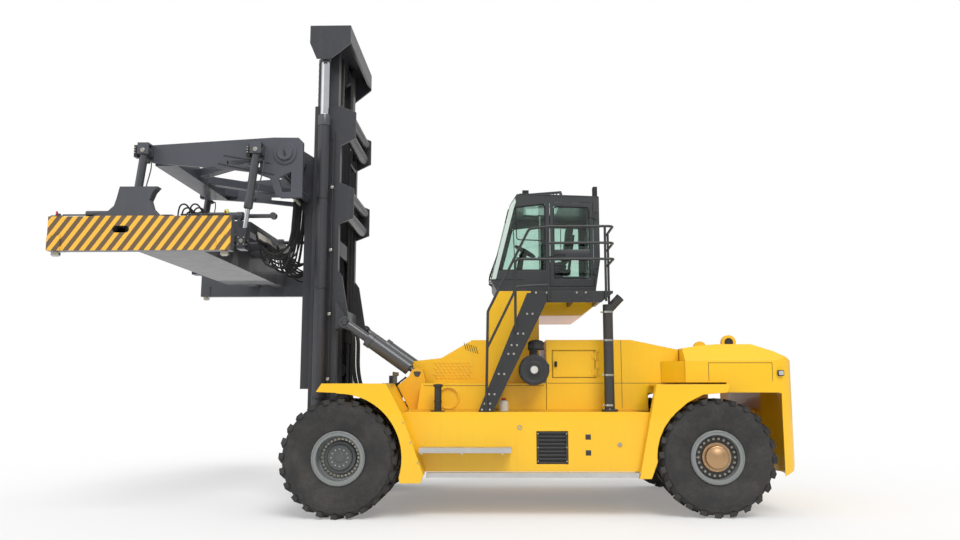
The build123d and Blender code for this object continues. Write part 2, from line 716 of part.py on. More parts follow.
cleaner_x, cleaner_z, cleaner_radius = -2722.0, 2024.0, 212.0
with BuildPart() as air_cleaner:
    cross_bar(cleaner_x, cleaner_z, hood_half_width + 5, 1660, cleaner_radius)
    cross_bar(cleaner_x, cleaner_z, 1660, 1690, 78)
    bar((cleaner_x, 1430, cleaner_z + 150), (cleaner_x, 1430, 2330), 62)
    bar((cleaner_x - 40, 1430, 2330), (cleaner_x - 40, 1430, 2420), 120)
    block((cleaner_x - 110, cleaner_x + 110), (1180, hood_half_width + 6),
          (body_top_z, cleaner_z + 60))
save(air_cleaner, "air_cleaner")

# ---------------------------------------------------------------- cab pedestal
pedestal_top_z = cab_floor_z
with BuildPart() as cab_pedestal:
    half = pedestal_half_width
    side_shape([(-2050, deck_top_z), (-2050, 2930), (-2200, pedestal_top_z),
                (-3657, pedestal_top_z), (-3657, 2991), (-3471, 2859), (-2830, 2859),
                (-2830, deck_top_z)], -half, half)
    side_shape([(-2080, deck_top_z), (-2080, 2925), (-2220, pedestal_top_z - panel),
                (-2800, pedestal_top_z - panel), (-2800, deck_top_z)],
               -half + panel, half - panel, Mode.SUBTRACT)
    side_shape([(-2850, 2889), (-2850, pedestal_top_z - panel),
                (-3627, pedestal_top_z - panel), (-3627, 3006), (-3461, 2889)],
               -half + panel, half - panel, Mode.SUBTRACT)
save(cab_pedestal, "cab_pedestal")

# ---------------------------------------------------------------- cab
cab_wall = 50.0
glass_wall = 8.0
cab_outline = [(-2190, cab_floor_z), (-2098, 3413), (-2395, 4591), (-2505, 4766),
               (-3782, 4713), (-3782, 3700), (-3709, cab_floor_z)]
cab_inner = [(-2215, cab_floor_z + cab_wall), (-2152, 3418), (-2440, 4569), (-2532, 4715),
             (-3732, 4665), (-3732, 3704), (-3666, cab_floor_z + cab_wall)]
windscreen = [(-2090, 3480), (-2350, 4540), (-2470, 4540), (-2210, 3480)]
front_side_window = [(-2205, 3560), (-2460, 4560), (-2950, 4610), (-2950, 3560)]
door_opening = [(-3010, 3300), (-3010, 4640), (-3690, 4620), (-3690, 3300)]
cab_hinges = (3500.0, 4380.0)
door_window = [(-3070, 3420), (-3070, 4570), (-3630, 4550), (-3630, 3420)]
rear_side_window = [(-3070, 3700), (-3070, 4570), (-3630, 4550), (-3630, 3700)]
rear_window = ((-3790.0, -3720.0), (-700.0, 700.0), (3760.0, 4580.0))
roof_window = ((-3200.0, -2640.0), (-600.0, 600.0), (4600.0, 4800.0))
half = cab_half_width
with BuildPart() as cab_shell:
    side_shape(cab_outline, -half, half)
    side_shape(cab_inner, -half + cab_wall, half - cab_wall, Mode.SUBTRACT)
    side_shape(windscreen, -half + 80, half - 80, Mode.SUBTRACT)
    side_shape(front_side_window, half - cab_wall - 1, half + 1, Mode.SUBTRACT)
    side_shape(front_side_window, -half - 1, -half + cab_wall + 1, Mode.SUBTRACT)
    side_shape(door_opening, half - cab_wall - 1, half + 1, Mode.SUBTRACT)
    side_shape(rear_side_window, -half - 1, -half + cab_wall + 1, Mode.SUBTRACT)
    block(*rear_window, Mode.SUBTRACT)
    block(*roof_window, Mode.SUBTRACT)
    for low in cab_hinges:
        hinge_fixed(-3696, 1, half, low)
save(cab_shell, "cab_shell")


def pane(outline, y_low, y_high):
    """A flat pane that fills an outline of (forward, z) points, less its seat gap."""
    with BuildSketch(Plane.XZ.offset(-y_high)) as face:
        with BuildLine():
            Polyline(*[(at(forward), z) for forward, z in outline], close=True)
        make_face()
        offset(amount=-running_gap, kind=Kind.INTERSECTION, mode=Mode.REPLACE)
    extrude(face.sketch, amount=y_high - y_low)


glass_inset = 20.0  # from the outside of the wall to the glass
with BuildPart() as cab_glazing:
    gap = running_gap
    for side in sides.values():
        pane(front_side_window, *span(side, half - glass_inset - glass_wall,
                                      half - glass_inset))
    pane(rear_side_window, *span(-1, half - glass_inset - glass_wall, half - glass_inset))
    block((rear_window[0][0] + 30, rear_window[0][0] + 30 + glass_wall),
          (rear_window[1][0] + gap, rear_window[1][1] - gap),
          (rear_window[2][0] + gap, rear_window[2][1] - gap))
    block((roof_window[0][0] + gap, roof_window[0][1] - gap),
          (roof_window[1][0] + gap, roof_window[1][1] - gap), (4690, 4690 + glass_wall))
    side_shape([(-2105, 3480 + gap), (-2365, 4540 - gap), (-2376, 4540 - gap),
                (-2116, 3480 + gap)], -half + 80 + gap, half - 80 - gap)
save(cab_glazing, "cab_glazing")

with BuildPart() as cab_door:
    with BuildSketch(Plane.XZ.offset(-half)) as face:
        with BuildLine():
            Polyline(*[(at(forward), z) for forward, z in door_opening], close=True)
        make_face()
        offset(amount=-moving_gap, kind=Kind.INTERSECTION, mode=Mode.REPLACE)
    extrude(face.sketch, amount=cab_wall - 10)
    side_shape(door_window, half - cab_wall - 1, half + 1, Mode.SUBTRACT)
    block((-3062, -3035), (half, half + 30), (3780, 3960))
    for low in cab_hinges:
        hinge_moving(-3696, 1, half, low)
save(cab_door, "cab_door")

with BuildPart() as cab_door_glass:
    pane(door_window, half - glass_inset - glass_wall, half - glass_inset)
save(cab_door_glass, "cab_door_glass")

cab_inside_z = cab_floor_z + cab_wall
with BuildPart() as cab_interior:
    block((-3330, -2960), (-190, 190), (cab_inside_z, cab_inside_z + 90))
    block((-3270, -3020), (-130, 130), (cab_inside_z + 90, cab_inside_z + 330))
    block((-3390, -2900), (-240, 240), (cab_inside_z + 330, cab_inside_z + 380))
    side_shape([(-3390, cab_inside_z + 350), (-3350, cab_inside_z + 350),
                (-3440, cab_inside_z + 980), (-3480, cab_inside_z + 980)], -60, 60)
    for side in sides.values():
        block((-3300, -2960), span(side, 290, 380), (cab_inside_z + 520, cab_inside_z + 580))
        block((-3300, -3240), span(side, 255, 380), (cab_inside_z + 340, cab_inside_z + 520))
        block((-3300, -3240), span(side, 240, 380), (cab_inside_z + 340, cab_inside_z + 378))
    # Steering column, wheel and foot rest.
    side_shape([(-2560, cab_inside_z), (-2420, cab_inside_z), (-2560, cab_inside_z + 640),
                (-2640, cab_inside_z + 640)], -90, 90)
    wheel_middle = Vector(at(-2650), 0, cab_inside_z + 700)
    tilt = Plane(origin=wheel_middle, z_dir=(-0.5, 0, 0.866))
    with BuildSketch(tilt) as hub:
        Circle(60)
    extrude(hub.sketch, amount=-90)
    with BuildSketch(tilt) as wheel:
        Circle(195)
        Circle(165, mode=Mode.SUBTRACT)
        Rectangle(380, 34)
        Rectangle(34, 380)
    extrude(wheel.sketch, amount=26)
    block((-2400, -2240), (-420, 420), (cab_inside_z, cab_inside_z + 60))
save(cab_interior, "cab_interior")

with BuildPart() as seat_cushion:
    block((-3350, -2880), (-250, 250), (cab_inside_z + 380.3, cab_inside_z + 490))
    side_shape([(-3385, cab_inside_z + 500), (-3265, cab_inside_z + 500),
                (-3345, cab_inside_z + 1150), (-3465, cab_inside_z + 1150)], -245, -60.3)
    side_shape([(-3385, cab_inside_z + 500), (-3265, cab_inside_z + 500),
                (-3345, cab_inside_z + 1150), (-3465, cab_inside_z + 1150)], 60.3, 245)
    side_shape([(-3371, cab_inside_z + 500), (-3265, cab_inside_z + 500),
                (-3345, cab_inside_z + 1150), (-3464, cab_inside_z + 1150)], -60.3, 60.3)
save(seat_cushion, "seat_cushion")


# ---------------------------------------------------------------- platform, stairs, rails
platform_y = (cab_half_width + 70, body_half_width - 50)
platform_x = (-3861.0, -2682.0)
platform_top_z = 3152.0
stair_low = ((-2131.0, -1919.0), deck_z)
stair_top = ((-2969.0, -2624.0), 3124.0)
stair_y = (hood_half_width + 14, platform_y[1])
stringer_wall = 18.0
tread_count = 7
with BuildPart() as access_platform:
    block(platform_x, platform_y, (platform_top_z - 36, platform_top_z))
    side_shape([(platform_x[1], 2985), (-3691, 2985), (platform_x[0], 3130),
                (platform_x[0], platform_top_z), (platform_x[1], platform_top_z)],
               platform_y[1] - 20, platform_y[1])
    for forward in (-3690, platform_x[1] - 40, -3300):
        side_shape([(forward, 2992), (forward, platform_top_z - 36),
                    (forward + 40, platform_top_z - 36), (forward + 40, 2992)],
                   pedestal_half_width, platform_y[1] - 20)
    for near in (stair_y[0], stair_y[1] - stringer_wall):
        side_shape([(stair_low[0][0], stair_low[1]), (stair_low[0][1], stair_low[1]),
                    (stair_top[0][1], stair_top[1]), (stair_top[0][0], stair_top[1])],
                   near, near + stringer_wall)
    for index in range(tread_count):
        share = (index + 1) / (tread_count + 1)
        middle = (sum(stair_low[0]) + (sum(stair_top[0]) - sum(stair_low[0])) * share) / 2
        z = stair_low[1] + (stair_top[1] - stair_low[1]) * share
        block((middle - 110, middle + 110), (stair_y[0] + 10, stair_y[1] - 10),
              (z - 12, z + 12))
save(access_platform, "access_platform")

rail_radius = 19.0
rail_y = platform_y[1] + rail_radius
post_radius = rail_radius - 1
with BuildPart() as handrails:
    rear_rail = platform_x[0] - rail_radius
    rail_end_y = cab_half_width + 60
    # The top rail goes on down beside the stairs to the tank's top, and the low one to a post.
    bent_tube([(rear_rail, rail_end_y, 4094), (rear_rail, rail_y, 4094), (-2936, rail_y, 4094),
               (-2660, rail_y, 4059), (-2059, rail_y, 2857), (-2034, rail_y, deck_z + 2)],
              rail_radius, 90)
    bent_tube([(rear_rail, rail_end_y, 3850), (rear_rail, rail_y, 3850), (-2936, rail_y, 3850)],
              rail_radius, 90)
    bent_tube([(rear_rail, rail_end_y, 3614), (rear_rail, rail_y, 3614), (-2456, rail_y, 3614),
               (-2456, rail_y, 2558)], rail_radius, 60)
    for forward, top in ((-2936, 4094), (-3759, 4094)):
        bar((forward, rail_y, 3000), (forward, rail_y, top), post_radius)
    bar((rear_rail, 1150, 3000), (rear_rail, 1150, 4094), post_radius)
    bent_tube([(-2936, rail_y, 3240), (-2481, rail_y, 3216), (-2052, rail_y, 2337)],
              post_radius, 60)
save(handrails, "handrails")

# ---------------------------------------------------------------- lamps and valves
def roof_z(forward):
    """Height of the cab roof at a place along it."""
    (x0, z0), (x1, z1) = cab_outline[3:5]
    return z0 + (z1 - z0) * (forward - x0) / (x1 - x0)


def tail_x(z):
    """Where the counterweight's back face is at a height."""
    (x0, z0), (x1, z1) = (rear_x - 1201, 1812), (rear_x - 1189, 2144)
    return x0 + (x1 - x0) * (z - z0) / (z1 - z0)


with BuildPart() as work_lamps:
    for side in sides.values():
        # Front lamps on the cab roof, rear lamps at its back edge.
        block((-2700, -2600), span(side, 560, 720), (4770, 4880))
        block((-3800, -3730), span(side, 480, 600), (4790, 4960))
        for front, lamp_z, middle in ((-3740, 4790, 540), (-2630, 4770, 640)):
            side_shape([(front, roof_z(front) + running_gap), (front, lamp_z),
                        (front - 40, lamp_z), (front - 40, roof_z(front - 40) + running_gap)],
                       *span(side, middle - 20, middle + 20))
        # Rear lamps on the counterweight's face.
        side_shape([(-6462, 1850), (-6462, 1990), (tail_x(1990) - running_gap, 1990),
                    (tail_x(1850) - running_gap, 1850)], *span(side, 1180, 1340))
save(work_lamps, "work_lamps")

with BuildPart() as chassis_hydraulics:
    block((-600, -360), (-420, 420), (deck_z + 30, 1840))
    block((-520, -460), (-300, 300), (1840, 1960))
    block((-560, -400), (-150, 150), (1300, deck_z + 30))
    bar((-1330, 1500, deck_z), (-1330, 1500, 1780), 52)
    bar((-1330, 1500, 1780), (-1330, 1500, 1810), 66)
    block((-760, -620), (500, 640), (deck_z + 0, 1560))
save(chassis_hydraulics, "chassis_hydraulics")

# ---------------------------------------------------------------- outer mast
outer_flange_y = 690.0
mast_back = mast_mid_x - column_depth / 2
mast_front = mast_mid_x + column_depth / 2
mast_play = 10.0  # between the nested columns
inner_back = mast_back + mast_flange + mast_play
inner_front = mast_front - mast_flange - mast_play
inner_column_y = outer_web_y - mast_web - mast_play
inner_flange_y = 600.0
cross_tube_radius = 88.0
cross_tubes = [(170, 6060), (190, 5790), (170, 4810), (190, 4490)]  # forward, z
tilt_eye_half = 40.0
tilt_eye_play = 4.5  # room for the eye's small drift about its pin
with BuildPart() as outer_mast:
    low, top = outer_mast_low_z, outer_mast_top_z
    for side in sides.values():
        block((mast_back, mast_front), span(side, outer_web_y - mast_web, outer_web_y),
              (low, top))
        for back in (mast_back, mast_front - mast_flange):
            block((back, back + mast_flange),
                  span(side, outer_flange_y, outer_web_y - mast_web), (low, top))
        web = span(side, outer_web_y - mast_web, outer_web_y)
        side_shape([(mast_back, 5600), (60, 5720), (60, 6150), (mast_back, 6250)], *web)
        side_shape([(mast_back, 4330), (70, 4420), (70, 4900), (mast_back, 5000)], *web)
        side_shape([(mast_back, 3600), (mast_back, 2640), (tilt_lug_x + 20, 2680),
                    (tilt_lug_x - 60, 2763), (tilt_lug_x - 20, 2840), (230, 3500)], *web)
        # Lug and pin for the tilt cylinder's rod, and the lift cylinder's seat.
        side_shape([(mast_back, 3100), (mast_back, 2660), (tilt_lug_x + 20, 2690),
                    (tilt_lug_x - 55, 2763), (tilt_lug_x, 2835)],
                   *span(side, outer_web_y, tilt_y - tilt_eye_half - 8))
        cross_bar(tilt_lug_x, tilt_lug_z, *span(side, outer_web_y, tilt_y + 52),
                  tilt_pin_radius)
        block((lift_cylinder_x - 90, lift_cylinder_x + 90),
              span(side, outer_web_y, 1010), (lift_tube_low_z - 60, lift_tube_low_z))
        block((lift_cylinder_x - 110, lift_cylinder_x + 110),
              span(side, outer_web_y, lift_cylinder_y - lift_tube_radius - running_gap),
              (5700, 5900))
        # Chain anchor arm on the upper cross tube.
        block((170, 400), span(side, 395, 485), (5985, 6035))
    for forward, z in cross_tubes:
        cross_bar(forward, z, -outer_web_y + 20, outer_web_y - 20, cross_tube_radius)
    block((mast_back, mast_back + mast_flange), (-outer_flange_y, outer_flange_y),
          (low, low + 420))
    block((mast_back - 60, mast_back), (-outer_web_y, outer_web_y), (2700, 3000))
    for side in sides.values():
        cross_bar(mast_pivot_x, mast_pivot_z,
                  *span(side, outer_web_y - mast_web - 1, outer_web_y + 1),
                  mast_pin_radius + running_gap, Mode.SUBTRACT)
save(outer_mast, "outer_mast")

lift_bore = lift_rod_radius + 4
with BuildPart() as lift_cylinders:
    for side in sides.values():
        x, y = lift_cylinder_x, side * lift_cylinder_y
        bar((x, y, lift_tube_low_z), (x, y, lift_tube_top_z), lift_tube_radius)
        bar((x, y, lift_tube_top_z - 160), (x, y, lift_tube_top_z), lift_tube_radius + 6)
        bar((x, y, lift_tube_low_z + 60), (x, y, lift_tube_top_z - 160), lift_bore,
            Mode.SUBTRACT)
        bar((x, y, lift_tube_top_z - 161), (x, y, lift_tube_top_z + 1),
            lift_rod_radius + running_gap, Mode.SUBTRACT)
save(lift_cylinders, "lift_cylinders")

# ---------------------------------------------------------------- tilt cylinders
tilt_vector = (tilt_lug_x - tilt_base_x, tilt_lug_z - tilt_base_z)
tilt_length = hypot(*tilt_vector)
tilt_unit = (tilt_vector[0] / tilt_length, tilt_vector[1] / tilt_length)


def along_tilt(distance):
    """A (forward, z) place on the tilt cylinder's line, from its base pin."""
    return (tilt_base_x + tilt_unit[0] * distance, tilt_base_z + tilt_unit[1] * distance)


def tilt_bar(y, start, end, radius, mode=Mode.ADD):
    """A round bar along the tilt cylinder's line, between two distances."""
    (x0, z0), (x1, z1) = along_tilt(start), along_tilt(end)
    bar((x0, y, z0), (x1, y, z1), radius, mode)


tilt_tube_length = 940.0
tilt_rod_tail = 470.0  # where the rod ends inside the tube at rest
for side_name, side in sides.items():
    y = side * tilt_y
    with BuildPart() as tilt_tube:
        cross_bar(tilt_base_x, tilt_base_z, *span(side, tilt_y - 40, tilt_y + 40), 88)
        tilt_bar(y, 60, 150, 38)
        tilt_bar(y, 150, tilt_tube_length, tilt_tube_radius)
        tilt_bar(y, tilt_tube_length - 90, tilt_tube_length, tilt_tube_radius + 10)
        tilt_bar(y, 170, tilt_tube_length - 90, tilt_rod_radius + 3, Mode.SUBTRACT)
        tilt_bar(y, tilt_tube_length - 91, tilt_tube_length + 1,
                 tilt_rod_radius + running_gap, Mode.SUBTRACT)
        cross_bar(tilt_base_x, tilt_base_z, *span(side, tilt_y - 41, tilt_y + 41),
                  tilt_pin_radius + running_gap, Mode.SUBTRACT)
    save(tilt_tube, f"tilt_tube_{side_name}")
    with BuildPart() as tilt_rod:
        tilt_bar(y, tilt_rod_tail, tilt_length - 60, tilt_rod_radius)
        cross_bar(tilt_lug_x, tilt_lug_z,
                  *span(side, tilt_y - tilt_eye_half, tilt_y + tilt_eye_half), 88)
        cross_bar(tilt_lug_x, tilt_lug_z,
                  *span(side, tilt_y - tilt_eye_half - 1, tilt_y + tilt_eye_half + 1),
                  tilt_pin_radius + tilt_eye_play, Mode.SUBTRACT)
    save(tilt_rod, f"tilt_rod_{side_name}")

# ---------------------------------------------------------------- inner mast
chain_y = 440.0
chain_half_width = 42.0
chain_wall = 22.0
lift_rod_tail_z = 2640.0
lift_rod_top_z = 6940.0
with BuildPart() as inner_mast:
    low, top = inner_mast_low_z, inner_mast_top_z - 40
    for side in sides.values():
        block((inner_back, inner_front), span(side, inner_column_y - mast_web, inner_column_y),
              (low, top))
        for back in (inner_back, inner_front - 40):
            block((back, back + 40), span(side, inner_flange_y, inner_column_y - mast_web),
                  (low, top))
        side_shape([(120, top - 250), (120, top), (767, top), (767, top - 250),
                    (660, top - 500), (430, top - 500)], *span(side, crosshead_half_width - 40,
                                        crosshead_half_width))
        # Socket for the lift rod, and the sheave with its cheeks.
        bar((lift_cylinder_x, side * lift_cylinder_y, lift_rod_top_z),
            (lift_cylinder_x, side * lift_cylinder_y, 7450), 84)
        cross_bar(sheave_x, sheave_z, *span(side, 395, 485), sheave_radius)
        cross_bar(sheave_x, sheave_z, *span(side, 320, inner_flange_y), 55)
        for near, far in ((350, 380), (505, 535)):
            side_shape([(430, 7100), (430, 7450), (660, 7450), (660, 7100)],
                       *span(side, near, far))
    block((120, 767), (-crosshead_half_width, crosshead_half_width),
          (7450, inner_mast_top_z))
    block((120, 160), (-crosshead_half_width + 40, crosshead_half_width - 40),
          (7220, 7450))
    for cross_low, cross_top in ((low + 100, low + 480), (3900, 4150)):
        block((inner_back + 17, inner_back + 57), (-inner_flange_y, inner_flange_y),
              (cross_low, cross_top))
save(inner_mast, "inner_mast")

with BuildPart() as lift_rods:
    for side in sides.values():
        x, y = lift_cylinder_x, side * lift_cylinder_y
        bar((x, y, lift_rod_tail_z), (x, y, lift_rod_top_z), lift_rod_radius)
save(lift_rods, "lift_rods")

# Chains: the rear runs hang from the outer mast's anchors up to the sheaves, and the front
# runs go from the sheaves down to the carriage.
rear_chain_x = sheave_x - sheave_radius - chain_wall / 2 - running_gap
front_chain_x = sheave_x + sheave_radius + chain_wall / 2 + running_gap
chain_anchor_z = 6035.3
carriage_anchor_z = 4180.0
for name, x, low in (("rear_chains", rear_chain_x, chain_anchor_z),
                     ("front_chains", front_chain_x, carriage_anchor_z + 0.3)):
    with BuildPart() as chains:
        for side in sides.values():
            block((x - chain_wall / 2, x + chain_wall / 2),
                  span(side, chain_y - chain_half_width, chain_y + chain_half_width),
                  (low, sheave_z))
    save(chains, name)

# ---------------------------------------------------------------- carriage
roller_radius = 112.0
carriage_plate_y = (520.0, 590.0)
carriage_back = 455.0
carriage_front = 900.0
carriage_low_z = 1750.0
roller_y = (625.0, 730.0)
roller_hub_radius = 50.0
with BuildPart() as carriage:
    for side in sides.values():
        plate_y = span(side, *carriage_plate_y)
        side_shape([(carriage_back, carriage_low_z), (carriage_back, 4240), (770, 4300),
                    (785, 5480), (940, 5580), (1180, 5560), (1260, 5400), (1230, 5190),
                    (1050, 5000), (1000, 4640), (carriage_front, 4560),
                    (carriage_front, carriage_low_z)], *plate_y)
        cross_bar(arm_hub_x, arm_hub_z, *span(side, 500, 650), 165)
        for z in (2060, 4080):
            cross_bar(mast_mid_x, z, *span(side, carriage_plate_y[1], roller_y[0]),
                      roller_hub_radius)
            cross_bar(mast_mid_x, z, *span(side, *roller_y), roller_radius)
        # Chain anchor shelf in front of the mast.
        block((front_chain_x - 60, carriage_front - 40), span(side, 385, 520),
              (carriage_anchor_z - 60, carriage_anchor_z))
    for low, high in ((1860, 2140), (2800, 3060), (3560, 3820), (4640, 4960)):
        block((carriage_front - 40, carriage_front),
              (-carriage_plate_y[0], carriage_plate_y[0]), (low, high))
    cross_bar(arm_hub_x, arm_hub_z, -700, 700, arm_shaft_radius + running_gap,
              Mode.SUBTRACT)
    cross_bar(870, 4780, -700, 700, 60 + running_gap, Mode.SUBTRACT)
save(carriage, "carriage")

# ---------------------------------------------------------------- lift arms
front_tube_x, rear_tube_x, slope_pin_z = 3180.0, 1460.0, 5350.0
slope_y = 1450.0
slope_tube_radius = 62.0
slope_rod_radius = 36.0
slope_lean = 160.0  # how far forward the rod's pin is from the tube's pin
slope_low_z = 3940.0
arm_outer_y = arm_y + arm_wall / 2
arm_inner_y = arm_y - arm_wall / 2
arm_outline = [(785, 4650), (785, 5520), (860, 5595), (1250, 5600), (3130, 5490), (3190, 5440),
               (3190, 5240), (3060, 5200), (2085, 5129), (1560, 5060), (1290, 4960), (1190, 4700),
               (1120, 4650)]
arm_openings = [[(1450, 5130), (1960, 5180), (1960, 5235), (1450, 5235)],
                [(960, 4740), (1090, 4740), (1160, 4960), (960, 5060)]]
with BuildPart() as lift_arms:
    for side in sides.values():
        wall = span(side, arm_inner_y, arm_outer_y)
        side_shape(arm_outline, *wall)
        for opening in arm_openings:
            side_shape(opening, wall[0] - 1, wall[1] + 1, Mode.SUBTRACT)
        # Hub boss and a raised ring round it.
        cross_bar(arm_hub_x, arm_hub_z, *span(side, arm_inner_y - 30, arm_outer_y + 22), 175)
        cross_bar(arm_hub_x, arm_hub_z, *span(side, arm_outer_y + 21, arm_outer_y + 44), 120)
        # Gussets to the box beam, and a clevis at each hanging cylinder's top.
        plan_shape([(2750, side * (arm_inner_y + 2)), (2750, side * 1040),
                    (2560, side * (arm_inner_y + 2))], 5230, 5370)
        for forward in (front_tube_x, rear_tube_x):
            cheeks = [(forward - 85, 5295), (forward - 85, 5470), (forward + 85, 5470),
                      (forward + 85, 5295)]
            side_shape(cheeks, *span(side, arm_outer_y - 1, slope_y - 50))
            side_shape(cheeks, *span(side, slope_y + 50, slope_y + 78))
            block((forward - 85, forward + 85), span(side, arm_outer_y - 1, slope_y + 78),
                  (5446, 5470))
    block((2750, 3100), (-arm_inner_y - 1, arm_inner_y + 1), (5180, 5400))
    # K brace in plan, from the box beam's middle to each arm.
    for side in sides.values():
        plan_shape([(2752, side * 120), (2752, side * 330), (1640, side * (arm_inner_y + 2)),
                    (1480, side * (arm_inner_y + 2)), (1480, side * (arm_inner_y - 60))],
                   5230, 5360)
    cross_bar(arm_hub_x, arm_hub_z, -arm_y, arm_y, arm_shaft_radius)
    cross_bar(870, 4780, -arm_y, arm_y, 60)
    for forward in (front_tube_x, rear_tube_x):
        cross_bar(forward, slope_pin_z, -slope_y - 70, slope_y + 70, 52)
save(lift_arms, "lift_arms")

slope_length = hypot(slope_lean, slope_pin_z - slope_low_z)
slope_unit = (slope_lean / slope_length, -(slope_pin_z - slope_low_z) / slope_length)


def slope_bar(top_x, y, start, end, radius, mode=Mode.ADD):
    """A round bar down a pile slope cylinder's line, between two distances."""
    ends = [(top_x + slope_unit[0] * d, y, slope_pin_z + slope_unit[1] * d)
            for d in (start, end)]
    bar(ends[0], ends[1], radius, mode)


slope_tube_end = 900.0
slope_rod_tail = 500.0
with BuildPart() as slope_cylinders:
    for side in sides.values():
        y = side * slope_y
        for top_x in (front_tube_x, rear_tube_x):
            cross_bar(top_x, slope_pin_z, *span(side, slope_y - 45, slope_y + 45), 88)
            slope_bar(top_x, y, 62, slope_tube_end, slope_tube_radius)
            slope_bar(top_x, y, 150, slope_tube_end - 80, slope_rod_radius + 3,
                      Mode.SUBTRACT)
            slope_bar(top_x, y, slope_tube_end - 81, slope_tube_end + 1,
                      slope_rod_radius + running_gap, Mode.SUBTRACT)
            cross_bar(top_x, slope_pin_z, *span(side, slope_y - 46, slope_y + 46),
                      52 + running_gap, Mode.SUBTRACT)
save(slope_cylinders, "slope_cylinders")

slope_eye_half = 38.0
slope_pin_radius = 32.0
slope_ball_radius = 46.0
slope_ball_play = 1.5  # room for the ball's drift in the rod's eye as the frame tilts
for side_name, side in sides.items():
    y = side * slope_y
    with BuildPart() as slope_rods:
        for top_x in (front_tube_x, rear_tube_x):
            low_x = top_x + slope_lean
            slope_bar(top_x, y, slope_rod_tail, slope_length - 50, slope_rod_radius)
            cross_bar(low_x, slope_low_z,
                      *span(side, slope_y - slope_eye_half, slope_y + slope_eye_half), 70)
            cross_bar(low_x, slope_low_z,
                      *span(side, slope_y - slope_eye_half - 1, slope_y + slope_eye_half + 1),
                      slope_ball_radius + slope_ball_play, Mode.SUBTRACT)
    save(slope_rods, f"slope_rods_{side_name}")

# ---------------------------------------------------------------- hanger frame
clevis_near, clevis_far = 68.0, 108.0  # sides of each clevis plate, from the rod's middle
hanger_low_z = 4075.0
hanger_top_z = 4290.0
hanger_x = (rear_tube_x + slope_lean, front_tube_x + slope_lean)
with BuildPart() as hanger_frame:
    for forward in hanger_x:
        block((forward - 75, forward + 75), (-slope_y + clevis_far, slope_y - clevis_far),
              (hanger_low_z + 40, hanger_top_z - 20))
        for side in sides.values():
            for near, far in ((slope_y - clevis_far - 1, slope_y - clevis_near),
                              (slope_y + clevis_near, slope_y + clevis_far)):
                side_shape([(forward - 75, hanger_low_z + 60), (forward - 60, 3820),
                            (forward + 60, 3820), (forward + 75, hanger_low_z + 60)],
                           *span(side, near, far))
            clevis = span(side, slope_y - clevis_far, slope_y + clevis_far)
            block((forward - 60, forward + 60), clevis, (3820, 3858))
            cross_bar(forward, slope_low_z, *clevis, slope_pin_radius)
            with Locations((at(forward), side * slope_y, slope_low_z)):
                Sphere(slope_ball_radius)
    for side in sides.values():
        block(hanger_x, span(side, 1150, 1300), (hanger_low_z + 20, hanger_top_z))
        block(hanger_x, span(side, 380, 520), (hanger_low_z + 20, hanger_top_z))
    bar((spreader_x, 0, hanger_low_z - 25 + running_gap), (spreader_x, 0, hanger_top_z), 340)
    block((spreader_x - 330, spreader_x + 330), (-400, 400),
          (hanger_low_z + 20, hanger_top_z - 10))
save(hanger_frame, "hanger_frame")

# ---------------------------------------------------------------- spreader
sleeve_pitch = 240.0
sleeve_wall = 14.0
sleeve_low_z = 3730.0
sleeve_top_z = 4050.0
sleeve_half_length = 2200.0
beam_gap = 8.0
sleeve_x = [spreader_x + sleeve_pitch * (index - 1.5) for index in range(4)]
pad_length = 180.0

# Each telescope has two box beams, in the first and third sleeves on the left and in the
# second and fourth on the right, and its end beam with two twistlocks.
telescope_sleeves = {"left": (3, 1), "right": (2, 0)}
beam_half = sleeve_pitch / 2 - sleeve_wall - beam_gap
beam_low_z = sleeve_low_z + sleeve_wall + beam_gap
beam_top_z = sleeve_top_z - sleeve_wall - beam_gap
beam_tail_y = 2150.0

with BuildPart() as spreader_frame:
    for middle in sleeve_x:
        x = (middle - sleeve_pitch / 2, middle + sleeve_pitch / 2)
        block(x, (-sleeve_half_length, sleeve_half_length), (sleeve_low_z, sleeve_top_z))
    for middle in sleeve_x:
        x = (middle - sleeve_pitch / 2 + sleeve_wall, middle + sleeve_pitch / 2 - sleeve_wall)
        block(x, (-sleeve_half_length - 1, sleeve_half_length + 1),
              (sleeve_low_z + sleeve_wall, sleeve_top_z - sleeve_wall), Mode.SUBTRACT)
    # Wear pads in each sleeve's mouth.
    for side_name, side in sides.items():
        for index in telescope_sleeves[side_name]:
            for pad in ((beam_top_z + running_gap, sleeve_top_z - sleeve_wall),
                        (sleeve_low_z + sleeve_wall, beam_low_z - running_gap)):
                block((sleeve_x[index] - 70, sleeve_x[index] + 70),
                      span(side, sleeve_half_length - pad_length, sleeve_half_length), pad)
save(spreader_frame, "spreader_frame")

